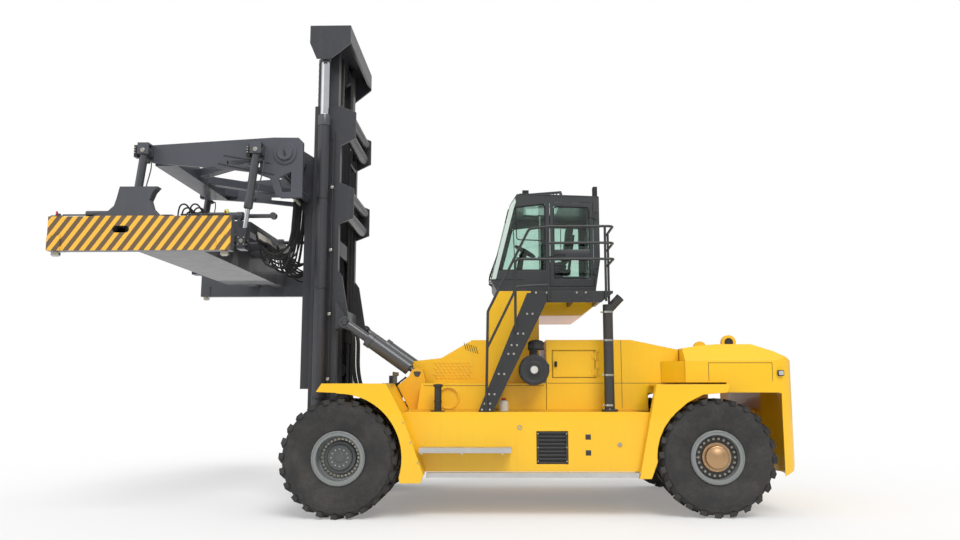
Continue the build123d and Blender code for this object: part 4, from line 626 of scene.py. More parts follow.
def stack_pattern(tree, colour):
    """A punched heat shield: rows of holes, from the product of two waves, one round the stack and one up it.
    The holes are painted near black, as painted shade inside them."""
    place = add(tree, "SeparateXYZ", [("Vector", object_place(tree))])
    beside = math_node(tree, "SUBTRACT", place.outputs["Y"], STACK_Y)
    before = math_node(tree, "SUBTRACT", place.outputs["X"], STACK_X)
    round_it = math_node(tree, "ARCTAN2", beside, before)
    columns = math_node(tree, "SINE", math_node(tree, "MULTIPLY", round_it, HOLES_ROUND))
    risen = math_node(tree, "MULTIPLY", place.outputs["Z"], 2 * math.pi / HOLE_PITCH)
    rows = math_node(tree, "SINE", risen)
    holes_painted_shade = ranged(tree, math_node(tree, "MULTIPLY", columns, rows), 0.25, 0.4)
    # Near black in the holes: painted shade.
    return mix_colour(tree, holes_painted_shade, colour, tone(12, 12, 13))


stack_paint = paint("heat_shield_paint", (62, 61, 60), (104, 96, 84), 0.3, 0.1, (0.5, 0.7), 0.0,
                    worn_and_painted_light=(110, 104, 96), wear_and_painted_light=0.3, pattern=stack_pattern)

finish_of = {
    "chassis_frame": frame_yellow_with_painted_shade, "mast_feet": frame_yellow_with_painted_shade, "side_tanks": yellow, "fenders": yellow,
    "counterweight": yellow, "engine_hood": yellow, "cab_pedestal": yellow, "drive_axle": black,
    "steer_axle": black, "side_grilles": black, "air_cleaner": black, "access_platform": black,
    "handrails": black, "chassis_hydraulics": black, "side_steps": aluminium, "engine_block": engine_paint,
    "exhaust_stack": stack_paint, "cab_shell": cab_paint, "cab_door": cab_paint, "cab_glazing": cab_glass,
    "cab_door_glass": cab_glass, "cab_interior": plastic, "work_lamps": plastic, "seat_cushion": seat_cloth,
    "outer_mast": grey, "lift_cylinders": grey, "inner_mast": grey, "carriage": grey, "hanger_frame": grey,
    "spreader_frame": grey, "lift_arms": arm_grey, "lift_rods": chrome, "rear_chains": zinc,
    "front_chains": zinc, "slope_cylinders": cylinder_paint, "sway_cylinders": cylinder_paint}
by_start = {"hood_door": yellow, "slope_rods": chrome, "telescope": striped_grey, "steer_knuckle": black,
            "tilt_tube": cylinder_paint, "tilt_rod": cylinder_paint, "twistlock": zinc}
for name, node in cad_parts.items():
    finish = finish_of.get(name) or next((f for start, f in by_start.items() if name.startswith(start)), None)
    if finish is None:
        finish = rim_paint if "rim" in name else tyre_rubber
    node.data.materials.clear()
    node.data.materials.append(finish)

milky_plastic = rubber_finish("milky_plastic", (214, 212, 204), 60.0, 0.0002, 0.2)
# Pale opaque paint on the screen's corners: a painted reflection of the sky.
corner_glass_painted_sky = paint("glass_painted_sky_reflection", (198, 214, 206), dust=(226, 228, 224), dust_amount=0.25, fade=0.2,
                     gloss=(0.05, 0.12), coat=0.6, peel=0.00002)
steel_chain = metal("oiled_chain_steel", (128, 126, 120), 0.38, (30, 30, 30), 0.0002)
cap_grey = paint("hub_dark_paint", (74, 78, 80), dust=(110, 104, 92), dust_amount=0.3, fade=0.15,
                 gloss=(0.34, 0.5), worn_and_painted_light=(140, 140, 140), wear_and_painted_light=0.3)


# ---------------------------------------------------------------- body
HOOD_Y, BODY_Y, TANK_Y, WEIGHT_Y, COWL_Y = 1.30, 1.29, 1.80, 1.70, 0.86


def line_on_side(points, y, width=0.006, depth=0.002):
    """A thin raised line of (forward, z) points on a side wall, for a panel's seam."""
    shapes = []
    for (x0, z0), (x1, z1) in zip(points[:-1], points[1:]):
        length = math.hypot(x1 - x0, z1 - z0)
        nx, nz = -(z1 - z0) / length * width / 2, (x1 - x0) / length * width / 2
        outline = [(ahead(x0 + nx), z0 + nz), (ahead(x1 + nx), z1 + nz), (ahead(x1 - nx), z1 - nz),
                   (ahead(x0 - nx), z0 - nz)]
        shapes.append(plate(outline, y - 0.0005, y + depth))
    return shapes


seam_lines = [(HOOD_Y, (-2.93, 1.835), (-4.84, 1.835)),
              (HOOD_Y, (-4.02, 1.47), (-4.02, 2.46)),
              (BODY_Y, (-1.10, 1.800), (-2.88, 1.800)),
              (BODY_Y, (-2.02, 1.46), (-2.02, 1.80)),
              (WEIGHT_Y, (-5.20, 1.86), (-5.20, 2.12), (-6.10, 2.12), (-6.10, 1.86))]
piece("panel_seams", both([strip for y, *line in seam_lines for strip in line_on_side(line, y)]), black)

# Louvres pressed in the cowl's side: rows of small slanted blades, and slots above them.
blade = plate([(0.0, 0.0), (0.036, 0.020), (0.040, 0.026), (0.036, 0.028), (-0.004, 0.008), (-0.006, 0.002)],
              -0.001, 0.010)
spots = [(ahead(-1.80) + column * 0.064 + (row % 2) * 0.032, COWL_Y, 1.90 + row * 0.046)
         for row in range(6) for column in range(9)]
piece("cowl_louvres", both([spread(blade, spots)]), yellow, bevel=0.001)
# The slots are black plates, painted shade where the openings are: each stands one step behind and above the
# last.
slot_shape = np.array(((0.0, 0.0), (0.010, 0.002), (0.044, 0.118), (0.034, 0.116)))
slots = [plate(slot_shape + (ahead(-1.90) + index * 0.036, 2.28 + index * 0.012),
               COWL_Y - 0.001, COWL_Y + 0.0025) for index in range(6)]
piece("cowl_slots_painted_shade", both(slots), black)

# Latches and pressed lines of the hood's doors.
press_line = [(-3.62, 1.93), (-3.62, 2.30), (-3.02, 2.30), (-3.02, 1.93), (-3.62, 1.93)]
latch = [block(at(-3.075, HOOD_Y, 2.075), at(-3.035, HOOD_Y + 0.024, 2.155), 0.006),
         rod(at(-3.055, HOOD_Y + 0.02, 2.115), at(-3.055, HOOD_Y + 0.032, 2.115), 0.014, 16, 0.003)]
for side_name, side in sides.items():
    body = f"hood_door_{side_name}"
    piece(f"{body}_latch", on_side(latch, side), plastic, body)
    piece(f"{body}_press_line", on_side(line_on_side(press_line, HOOD_Y, 0.010), side), yellow, body)

# Washer bottle with its red cap, and the hydraulic filler's collars and cap.
bottle_profile = [(0, 0), (0, 0.062), (0.006, 0.068), (0.13, 0.068), (0.15, 0.052), (0.156, 0.026),
                  (0.168, 0.026), (0.168, 0)]
piece("washer_bottle", [turned(bottle_profile, at(-2.285, 1.45, 1.431), UP, 32)], milky_plastic)
bottle_cap = [(0, 0.034), (0.026, 0.034), (0.03, 0.030), (0.03, 0)]
piece("washer_bottle_cap", [turned(bottle_cap, at(-2.285, 1.45, 1.590), UP, 24)], red_lens)
filler_cap = [(0, 0.0665), (0.0, 0.070), (0.026, 0.070), (0.030, 0.066), (0.030, 0.04), (0.036, 0.036),
              (0.036, 0)]
filler = [turned(profile, at(-1.33, 1.5, z), UP, 36)
          for profile, z in ((band(0.0525, 0.058, 0, 0.03), 1.56), (filler_cap, 1.79),
                             (band(0.0525, 0.105, 0, 0.014), 1.4305))]
piece("filler_details", filler, black)

# Air cleaner: bands, end cover, clips and plug, and the intake's finned cap.
cleaner = at(-2.722, 1.66, 2.024)
end_cover = [(0.0, 0.205), (0.008, 0.198), (0.008, 0.165), (0.003, 0.16), (0.003, 0.12), (0.010, 0.112),
             (0.010, 0.078)]
cover = [turned(profile, cleaner, ACROSS, 56)
         for profile in (band(0.2125, 0.2165, -0.35, -0.33), band(0.2125, 0.220, -0.06, -0.03), end_cover)]
clip = block((cleaner[0] + 0.205, 1.585, 2.004), (cleaner[0] + 0.228, 1.665, 2.044), 0.004)
piece("air_cleaner_cover", cover + [ring_of(clip, cleaner, ACROSS, 6, 0.3)], black)
plug = [(0.029, 0.0), (0.029, 0.055), (0.034, 0.052), (0.034, 0.0)]
piece("air_cleaner_plug", [turned(plug, cleaner, ACROSS, 32)], milky_plastic)
cap_x, cap_y = ahead(-2.762), 1.43
fin = plate([(cap_x + 0.05, 2.335), (cap_x + 0.117, 2.335), (cap_x + 0.117, 2.40), (cap_x + 0.05, 2.40)],
            cap_y - 0.0015, cap_y + 0.0015)
mushroom = [ring_of(fin, (cap_x, cap_y, 2.3), UP, 30)]
for profile in ([(2.40, 0.124), (2.418, 0.1225), (2.448, 0.095), (2.462, 0.05), (2.466, 0)],
                [(2.318, 0.120), (2.336, 0.124), (2.336, 0.116), (2.318, 0.116)]):
    mushroom.append(turned(profile, (cap_x, cap_y, 0), UP))
piece("intake_cap", mushroom, plastic)

# Exhaust: clamps with their lugs, the pipe's open mouth and the bolts of its foot.
clamp_heights = (1.52, 1.95, 2.45, 2.86)
clamps = [turned(band(0.0722, 0.077, z - 0.014, z + 0.014), (STACK_X, STACK_Y, 0), UP, 44)
          for z in clamp_heights]
lug = block((STACK_X + 0.07, STACK_Y - 0.015, -0.012), (STACK_X + 0.105, STACK_Y + 0.015, 0.012), 0.003)
piece("exhaust_clamps", clamps + [spread(lug, [(0, 0, z) for z in clamp_heights])], zinc)
mouth = [(-0.03, 0.0645), (0.002, 0.0665), (0.003, 0.0585), (-0.0, 0.056), (0.0005, 0.0)]
piece("exhaust_mouth", [turned(mouth, at(-3.99, STACK_Y, 3.075), (-0.185, 0.0, 0.195), 40)], black)
foot_angle = np.linspace(0.4, 6.68, 6, endpoint=False)
foot_bolts = [(STACK_X + 0.095 * math.cos(a), STACK_Y + 0.095 * math.sin(a), 1.4605) for a in foot_angle]
piece("exhaust_foot_bolts", [bolts(foot_bolts, 0.010, UP)], zinc, sharp=30)

# Tank side: sight holes drawn as black patches, which are painted shade, then drain plug and ring, and the
# grille's bolts.
sight_holes = [block(at(-3.50, TANK_Y - 0.001, z - 0.036), at(-3.425, TANK_Y + 0.004, z + 0.036), 0.003)
               for z in (1.085, 0.867)]
piece("tank_sight_holes_painted_shade", both(sight_holes), black)
tank_ring = [(0, 0.020), (0, 0.036), (0.005, 0.034), (0.005, 0.020)]
piece("tank_plugs", both([turned(stud(0.030, 0.026, 0.014, 0.018), at(-3.904, TANK_Y, 0.981), ACROSS, 24),
                          turned(tank_ring, at(-2.505, TANK_Y, 1.216), ACROSS, 28)]), zinc)
grille_bolts = [at(x, TANK_Y + 0.0065, z) for x in (-3.161, -2.759) for z in (0.75, 0.94, 1.13)]
piece("grille_bolts", both([bolts(grille_bolts, 0.008)]), zinc, sharp=30)

# Serrated treads: rows of teeth along the side steps.
tooth = plate([(-0.006, 0.0), (0.0, 0.008), (0.006, 0.0)], 0.0, 0.012)
tooth_spots = [(ahead(-2.37) + 0.0268 * i, TANK_Y + 0.03 * (j + 1), 0.951)
               for i in range(47) for j in range(7)]
piece("step_teeth", both([spread(tooth, tooth_spots)]), aluminium)

# Counterweight: small lamps at its rear corners, and the bores of its lifting ears, drawn as a black ring and
# disc that are painted shade inside each bore.
piece("tail_lamp_bases", both([block(at(-6.30, 1.40, 2.135), at(-6.22, 1.46, 2.205), 0.006)]), plastic)
piece("side_marker_bases", both([block(at(-6.26, 1.693, 1.935), at(-6.17, 1.728, 2.015), 0.008)]), plastic)
marker_lens = block(at(-6.25, 1.7275, 1.945), at(-6.18, 1.736, 2.005), 0.006)
piece("side_marker_lenses", both([marker_lens]), clear_lens)
ear_ring = [(0, 0.046), (0, 0.066), (0.006, 0.064), (0.006, 0.046)]
ear_rings = [turned(profile, at(-5.70, 0.96, 2.448), ACROSS, 32)
             for profile in (ear_ring, band(0, 0.046, 0.0005, 0.002))]
piece("ear_bores_painted_shade", both(ear_rings), black)

fender_bolts = [at(x, 2.13, z) for x, z in ((-0.90, 1.30), (-1.00, 1.03), (-1.10, 0.76))]
piece("fender_bolts", both([bolts(fender_bolts, 0.010)]), zinc, sharp=30)

# Pipes, hoses and fittings that show above the deck behind the mast.
pipe_line = [(-0.36, 1.60), (-0.22, 1.62), (0.02, 1.72), (0.12, 2.05), (0.135, 2.55), (0.2, 2.72)]
pipe_places = (-0.32, -0.22, -0.12, 0.12, 0.22, 0.32)
pipes = [hose([at(x, y, z) for x, z in pipe_line], 0.016) for y in pipe_places]
tilt_hose = hose([at(-0.38, 0.42, 1.70), at(-0.45, 0.62, 1.74), at(-0.62, 0.86, 1.80), at(-0.80, 0.90, 1.93)],
                 0.013, UP)
piece("deck_hoses", pipes + both([tilt_hose]), hose_rubber)
fittings = [rod(at(-0.53, y, 1.96), at(-0.53, y, 2.02), 0.022, 6, 0.003) for y in np.linspace(-0.26, 0.26, 7)]
fittings += [rod(at(-0.36, y, 1.60), at(-0.335, y, 1.604), 0.025, 6, 0.003) for y in pipe_places]
piece("valve_fittings", fittings, zinc, sharp=30)


# ---------------------------------------------------------------- cab
CAB_Y, GLASS_Y = 0.950, 0.930
ROOF_FRONT, ROOF_FRONT_Z = -2.505, 4.766
ROOF_FALL = (4.766 - 4.713) / (3.782 - 2.505)  # the roof's slope towards its back
BRACKET_GAP = 0.001


def roof_height(forward):
    """Height of the cab's roof."""
    return ROOF_FRONT_Z + (forward - ROOF_FRONT) * ROOF_FALL


def rounded(points, radius, steps=6):
    """A line through points whose inner corners are curves: each is the quadratic curve of the corner and the
    two places that lie radius from it along its two runs."""
    p = np.array(points, float)
    runs = np.diff(p, axis=0)
    ways = runs / np.linalg.norm(runs, axis=1)[:, None]
    t = np.linspace(0, 1, steps)[None, :, None]
    start, corner, end = p[1:-1] - radius * ways[:-1], p[1:-1], p[1:-1] + radius * ways[1:]
    bends = (1 - t) ** 2 * start[:, None] + 2 * t * (1 - t) * corner[:, None] + t**2 * end[:, None]
    return np.concatenate([p[:1], bends.reshape(-1, 3), p[-1:]])


def trim(points, y, width, depth, radius):
    """A flat strip that follows a rounded line of (forward, z) points on a wall that faces sideways."""
    line = rounded([at(x, y + depth / 2, z) for x, z in points], radius)
    half, high = width / 2, depth / 2
    return carried(line, [(-half, -high), (half, -high), (half, high), (-half, high)])


# Window lines run a little past their own start, so that each strip closes.
upper_window = [(-2.70, 4.583), (-2.48, 4.56), (-2.50, 4.045), (-2.935, 4.03), (-2.935, 4.595),
                (-2.69, 4.584)]
side_window = [(-2.70, 3.568), (-2.214, 3.568), (-2.465, 4.552), (-2.942, 4.602), (-2.942, 3.568),
               (-2.69, 3.568)]
door_window = [(-3.30, 3.428), (-3.078, 3.428), (-3.078, 4.562), (-3.622, 4.542), (-3.622, 3.428),
               (-3.29, 3.428)]
piece("side_window_frames", both([trim(upper_window, GLASS_Y, 0.016, 0.007, 0.05),
                                  trim(side_window, GLASS_Y, 0.018, 0.010, 0.04)]), plastic)
piece("door_window_seal", [trim(door_window, GLASS_Y, 0.016, 0.010, 0.05)], plastic, "cab_door")
mullions = [block(at(x - 0.007, -GLASS_Y - 0.009, 3.702), at(x + 0.007, -GLASS_Y + 0.0002, 4.552), 0.002)
            for x in (-3.321, -3.475)]
piece("far_window_mullions", mullions, plastic)
door_panel = [block(at(-3.6295, 0.9303, 3.737), at(-3.0705, 0.948, 3.885)),
              block(at(-3.6295, 0.903, 3.750), at(-3.0705, 0.9217, 3.870))]
piece("door_mid_panel", door_panel, cab_paint, "cab_door")
stickers = [block(at(x - 0.035, GLASS_Y, 3.683), at(x + 0.035, GLASS_Y + 0.0008, 3.701), 0.0003)
            for x in (-3.093, -3.416)]
piece("door_stickers", stickers, milky_plastic, "cab_door")
handle_line = [at(-3.10, 0.948, 3.792), at(-3.10, 0.985, 3.800), at(-3.24, 0.985, 3.800),
               at(-3.24, 0.948, 3.792)]
piece("door_pull", [carried(rounded(handle_line, 0.015), circle(0.008, 12), UP)], plastic, "cab_door")

# The screen's glass is bonded over the corner pillars. Its pale, opaque colour is a painted reflection of the
# sky.
corner_line = [(-2.108, 3.425), (-2.401, 4.588), (-2.478, 4.700), (-2.492, 4.640), (-2.466, 4.568),
               (-2.208, 3.556), (-2.176, 3.425)]
corner_pane = plate([(ahead(x), z) for x, z in corner_line], CAB_Y + 0.0002, CAB_Y + 0.0045)
piece("screen_corners", both([corner_pane]), corner_glass_painted_sky, bevel=0.001)
foot_trim = trim([(-2.115, 3.418), (-2.60, 3.418)], CAB_Y, 0.008, 0.004, 0.0)
piece("screen_foot_trim", both([foot_trim]), plastic)

# Roof guard: two bent rails with bars across, on four feet.
rail_y = (-0.50, 0.50)
rail_points = [(-2.500, 4.775), (-2.550, 4.842), (-3.235, 4.893)]
rail_section = [(-0.018, -0.014), (0.018, -0.014), (0.018, 0.014), (-0.018, 0.014)]
guard = [carried(rounded([at(x, y, z) for x, z in rail_points], 0.03), rail_section) for y in rail_y]
(rail_front, rail_low), (rail_back, rail_high) = rail_points[1:]
for share in np.linspace(0.02, 0.98, 13):
    x, z = rail_front + (rail_back - rail_front) * share, rail_low + (rail_high - rail_low) * share
    guard.append(rod(at(x, -0.49, z), at(x, 0.49, z), 0.009, 10))
for y in rail_y:
    for x, top in ((-2.545, 4.835), (-3.225, 4.885)):
        foot_z = roof_height(x)
        guard.append(block(at(x - 0.022, y - 0.012, foot_z - 0.002), at(x + 0.022, y + 0.012, top), 0.003))
        guard.append(block(at(x - 0.04, y - 0.03, foot_z - 0.003), at(x + 0.04, y + 0.03, foot_z + 0.008),
                           0.003))
piece("roof_guard", guard, cab_paint)
piece("roof_gutter", both([trim([(-2.545, 4.7665), (-3.775, 4.715)], 0.944, 0.014, 0.012, 0.0)]), cab_paint)


# Lamps on the roof and the counterweight: housings that hold a recessed lens behind a rim, on their brackets.
def lamp_parts(face, back, y, z, rim=0.009, deep=0.012):
    """A lamp that looks along X, from the forward places of its face and back: its housing and rim, then its
    lens."""
    face_x, back_x = ahead(face), ahead(back)
    out = math.copysign(1.0, face_x - back_x)
    seat_x, rim_x = face_x - out * deep, face_x - out * deep * 1.3
    (y0, y1), (z0, z1) = y, z
    housing = [block((back_x, y0, z0), (seat_x, y1, z1), 0.006)]
    housing += [block((rim_x, y0, low), (face_x, y1, low + rim), 0.002) for low in (z0, z1 - rim)]
    housing += [block((rim_x, low, z0 + rim * 0.8), (face_x, low + rim, z1 - rim * 0.8), 0.002)
                for low in (y0, y1 - rim)]
    return housing, [block((seat_x, y0 + rim, z0 + rim), (face_x - out * 0.003, y1 - rim, z1 - rim), 0.005)]


def lamp_bracket(front, top, middle):
    """A lamp's bracket, from just above the roof up to the lamp."""
    back = front - 0.04
    low_front, low_back = roof_height(front) + BRACKET_GAP, roof_height(back) + BRACKET_GAP
    outline = [(ahead(front), low_front), (ahead(front), top), (ahead(back), top), (ahead(back), low_back)]
    return plate(outline, middle - 0.02, middle + 0.02)


front_lamp, front_lens = lamp_parts(-2.600, -2.700, (0.560, 0.720), (4.770, 4.880))
rear_lamp, rear_lens = lamp_parts(-3.800, -3.730, (0.480, 0.600), (4.790, 4.960))
tail_lamp, tail_lens = lamp_parts(-6.462, -6.4403, (1.180, 1.340), (1.850, 1.990))
brackets = [lamp_bracket(-3.740, 4.790, 0.540), lamp_bracket(-2.630, 4.770, 0.640)]
piece("lamp_housings", both(front_lamp + rear_lamp + tail_lamp + brackets), plastic, replaces=("work_lamps",))
piece("roof_lamp_lenses", both(front_lens + rear_lens), clear_lens)
piece("tail_lenses", both(tail_lens), red_lens)
antenna_foot = [(0.0, 0.0), (0.0, 0.052), (0.012, 0.056), (0.030, 0.052), (0.048, 0.036), (0.056, 0.0)]
piece("roof_antenna_foot", [turned(antenna_foot, at(-3.33, 0.42, 4.731), UP, 32)], plastic)

# Wiper: an arm from the foot of the screen, its spring head and its blade along the glass.
wiper_y = 0.30
wiper_arm = [(-2.150, 3.372), (-2.072, 3.425), (-2.060, 3.490), (-2.207, 3.890)]
wiper = [carried(rounded([at(x, wiper_y, z) for x, z in wiper_arm], 0.03), circle(0.009, 10)),
         rod(at(-2.160, wiper_y, 3.36), at(-2.060, wiper_y, 3.432), 0.017, 16, 0.004),
         rod(at(-2.085, wiper_y, 3.445), at(-2.325, wiper_y, 4.395), 0.008, 8),
         rod(at(-2.205, wiper_y, 3.880), at(-2.213, wiper_y, 3.912), 0.014, 12)]
piece("wiper", wiper, plastic)
grab_arm = [(-2.165, 3.390), (-2.078, 3.430), (-2.072, 3.480), (-2.215, 3.870)]
grab_line = rounded([at(x, 0.80, z) for x, z in grab_arm], 0.035)
piece("screen_grab_arm", [carried(grab_line, circle(0.010, 10))], black)
piece("screen_washer", [block(at(-2.135, 0.72, 3.435), at(-2.098, 0.80, 3.500), 0.008)], plastic)

# Grab bar beside the door, inside the glass, with its foot and clamp.
grab_x, grab_y = -2.862, 0.868
grab = [rod(at(grab_x, grab_y, 3.54), at(grab_x, grab_y, 4.42), 0.011, 18, 0.003),
        rod(at(grab_x, grab_y, 3.975), at(grab_x, grab_y, 4.010), 0.024, 20, 0.003),
        rod(at(grab_x, grab_y, 3.55), at(grab_x, 0.901, 3.55), 0.008, 12)]
piece("grab_bar", grab, milky_plastic)

# Bolts of the stairs, mostly two to a step, and of the platform: bare zinc ones and painted ones.
BOLT_Y = 1.75
step_bolts = [(-2.663, 2.822), (-2.528, 2.537), (-2.436, 2.373), (-2.390, 2.249), (-2.252, 1.964),
              (-2.113, 1.679), (-2.051, 1.546)]
pale_bolts = [(x + offset, z) for x, z in step_bolts for offset in (-0.039, 0.039)]
pale_bolts += [(-2.085, 1.462), (-1.975, 1.462), (-2.754, 3.128), (-2.909, 3.128), (-3.342, 3.128),
               (-3.470, 3.128)]
dark_bolts = [(-2.961, 3.026), (-3.146, 3.069), (-3.230, 3.024), (-3.414, 3.069), (-3.497, 3.021)]
piece("stair_bolts", [bolts([at(x, BOLT_Y, z) for x, z in pale_bolts], 0.013)], zinc, sharp=30)
piece("platform_bolts", [bolts([at(x, BOLT_Y, z) for x, z in dark_bolts], 0.010)], cylinder_paint,
      sharp=30)

# Seat: a crowned base and back in cloth, swollen by a cloth simulation, then drawn in along its sewn
# channels.
SEAT_FLOOR, VOXEL, SWELL = 3.290, 0.009, 0.012
FRAMES, PRESSURE = 20, 4.0
CHANNEL_DEPTH, CHANNEL_WIDTH = 0.009, 0.011
BACK_STARTS, BASE_TOP = 0.495, 0.44  # above the seat's floor
NOWHERE = 9.0  # a distance too long to draw a point in


def soft_block(low, high, lean=0.0, radius=0.045):
    """A rounded block whose higher points lean back: x = x - lean * (z - low z)."""
    points, faces = block(low, high, radius, 5)
    points[:, 0] -= lean * (points[:, 2] - low[2])
    return points, faces


def settle(obj, finish):
    """Gives an object the mesh that its modifiers make."""
    made = bpy.data.meshes.new_from_object(obj.evaluated_get(bpy.context.evaluated_depsgraph_get()))
    obj.modifiers.clear()
    obj.data = made
    made.materials.clear()
    made.materials.append(finish)
    return made


def mesh_values(mesh, name):
    """A mesh's points (co) or its normals (normal), as rows of three."""
    flat = np.empty(len(mesh.vertices) * 3)
    mesh.vertices.foreach_get(name, flat)
    return flat.reshape(-1, 3)


def swell(obj, finish):
    """Blows the closed cloth out from within, then caps how far each point has moved."""
    rest = mesh_values(obj.data, "co")
    cloth = obj.modifiers.new("cloth", "CLOTH")
    cloth.settings.use_pressure = True
    cloth.settings.uniform_pressure_force = PRESSURE
    cloth.settings.effector_weights.gravity = 0.0
    cloth.point_cache.frame_start, cloth.point_cache.frame_end = 1, FRAMES
    for step in range(1, FRAMES + 1):
        bpy.context.scene.frame_set(step)
    made = settle(obj, finish)
    way = mesh_values(made, "co") - rest
    far = np.maximum(np.linalg.norm(way, axis=1)[:, None], 1e-9)
    made.vertices.foreach_set("co", (rest + way * np.minimum(1.0, SWELL / far)).ravel())
    bpy.context.scene.frame_set(1)


def sew(mesh):
    """Draws points in along the channels: each moves against its normal by
    depth * exp(-(distance / width)^2)."""
    points, normals = mesh_values(mesh, "co"), mesh_values(mesh, "normal")
    across, up = points[:, 1], points[:, 2] - SEAT_FLOOR
    on_back = up > BACK_STARTS
    shown = np.where(on_back, points[:, 0] > ahead(-3.40) - 0.12 * (up - 0.5), up > BASE_TOP)
    lines = [np.abs(np.abs(across) - 0.155), np.where(on_back, np.abs(up - 0.93), NOWHERE),
             np.where(up < BACK_STARTS, np.abs(points[:, 0] - ahead(-3.03)), NOWHERE)]
    drawn = sum(np.exp(-((line / CHANNEL_WIDTH) ** 2)) for line in lines).clip(0, 1.0) * shown
    mesh.vertices.foreach_set("co", (points - CHANNEL_DEPTH * drawn[:, None] * normals).ravel())
    mesh.update()


base_pad = soft_block(at(-3.338, -0.238, SEAT_FLOOR + 0.3845), at(-2.892, 0.238, SEAT_FLOOR + 0.478))
back_pad = soft_block(at(-3.371, -0.233, SEAT_FLOOR + 0.512), at(-3.277, 0.233, SEAT_FLOOR + 1.138), 0.123)
seat = piece("seat_pads", [base_pad, back_pad], seat_cloth, replaces=("seat_cushion",))
remesh = seat.modifiers.new("remesh", "REMESH")
remesh.mode, remesh.voxel_size = "VOXEL", VOXEL
settle(seat, seat_cloth)
swell(seat, seat_cloth)
sew(seat.data)
seat.data.shade_smooth()
smooth = seat.modifiers.new("smooth", "SUBSURF")
smooth.levels = smooth.render_levels = 1


# ---------------------------------------------------------------- mast, chains and cylinders
LINK_RADIUS, LINK_HALF, CHAIN_PIN = 0.0215, 0.0045, 0.0095


def leaf_chain(x, y, low, high, across, pitch=0.0508):
    """A leaf chain that hangs upright: plates in turn on two rows of pins. A plate is a flattened ring of 12
    points."""
    count = int(round((high - low) / pitch))
    pitch = (high - low) / count
    angle = np.linspace(0, 2 * np.pi, 12, endpoint=False)
    end = np.where(np.sin(angle) > 0, 0.5, -0.5) * pitch * 0.96
    bend = np.stack([LINK_RADIUS * np.cos(angle), end + LINK_RADIUS * np.sin(angle)], axis=-1)
    lanes = np.linspace(-across / 2, across / 2, 7)
    shapes = []
    for start in (0, 1):
        links = [(x, y, low + pitch * (index + 0.5)) for index in range(start, count, 2)]
        shapes += [spread(plate(bend, lane - LINK_HALF, lane + LINK_HALF), links) for lane in lanes[start::2]]
    pin = rod((0, -across / 2 - 0.008, 0), (0, across / 2 + 0.008, 0), CHAIN_PIN, 10, 0.002)
    shapes.append(spread(pin, [(x, y, low + pitch * index) for index in range(count + 1)]))
    return shapes


# The rear runs stretch between the outer and inner masts, and the front runs between the inner mast and the
# carriage.
for node, anchor, moving, anchored in (("rear_chains", "mast_outer", "mast_inner", "low"),
                                       ("front_chains", "mast_inner", "carriage", "high")):
    low, high = node_box(node)
    middle = (low + high) / 2
    chains = both(leaf_chain(middle[0], high[1] - 0.042, low[2] + 0.022, high[2] - 0.022, 0.064))
    shown = piece(node + "_links", chains, steel_chain, None, replaces=[node], sharp=30)
    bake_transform(shown)


def threaded_anchor(x, z, up, reach):
    """A chain anchor's bolt with two nuts and a washer, on each side of the mast."""
    place, up = np.array((x, 0.44, z)), np.array((0, 0, up), float)
    shapes = [rod(place, place + up * reach, 0.014, 16, 0.003)]
    shapes += [turned(stud(0.030, 0.027, 0.024, 0.028), place + up * away, up, 6) for away in (0.004, 0.040)]
    shapes.append(turned(band(0, 0.036, 0, 0.004), place + up * 0.0005, up, 20))
    return both(shapes)


def middle_x_of(node):
    """The middle of a node, along the truck."""
    low, high = node_box(node)
    return (low[0] + high[0]) / 2


rear_anchors = (threaded_anchor(middle_x_of("rear_chains"), 5.985, -1, 0.11)
                + threaded_anchor(ahead(0.27), 6.035, 1, 0.10))
piece("rear_chain_anchors", rear_anchors, zinc, "mast_outer", sharp=25)
front_anchors = threaded_anchor(middle_x_of("front_chains"), 4.12, -1, 0.12)
piece("front_chain_anchors", front_anchors, zinc, "carriage", sharp=25)

lift_top = at(0.545, 0.932, 6.06)
gland = [(-0.17, 0.094), (-0.17, 0.0995), (-0.012, 0.0995), (-0.004, 0.096), (0.001, 0.088), (0.001, 0.070)]
piece("lift_cylinder_glands", both([turned(gland, lift_top, UP)]), cylinder_paint, "mast_outer")
wiper_ring = [(0.0015, 0.0695), (0.0015, 0.088), (0.008, 0.086), (0.012, 0.078), (0.012, 0.0695)]
piece("lift_cylinder_wipers", both([turned(wiper_ring, lift_top, UP)]), zinc, "mast_outer")
bands = []
for z in (1.62, 3.3, 4.72):
    bands.append(turned(band(0.0925, 0.0985, -0.02, 0.02), at(0.545, 0.932, z), UP, 40))
    bands.append(rod(at(0.525, 1.0275, z), at(0.565, 1.0275, z), 0.008, 8, 0.002))
piece("lift_cylinder_bands", both(bands), black, "mast_outer")
lift_pipe = [at(0.43, 0.905, 1.30), at(0.405, 0.90, 1.6), at(0.40, 0.90, 3.0), at(0.40, 0.90, 5.2),
             at(0.40, 0.902, 5.75), at(0.43, 0.915, 5.87)]
piece("lift_cylinder_pipes", both([hose(lift_pipe, 0.013, corners=12)]), black, "mast_outer")
clips = [block(at(0.38, 0.826, z - 0.022), at(0.425, 0.925, z + 0.022)) for z in (1.9, 2.9, 3.9, 4.9)]
piece("lift_pipe_clips", both(clips), zinc, "mast_outer")
valve = [block(at(0.40, 0.86, 1.20), at(0.47, 0.96, 1.36), 0.008),
         rod(at(0.435, 0.91, 1.36), at(0.435, 0.91, 1.40), 0.022, 6, 0.002),
         rod(at(0.435, 0.955, 1.25), at(0.435, 0.985, 1.25), 0.018, 16, 0.003),
         rod(at(0.435, 0.955, 1.31), at(0.435, 0.985, 1.31), 0.014, 6, 0.002)]
piece("lift_lowering_valves", both(valve), zinc, "mast_outer")

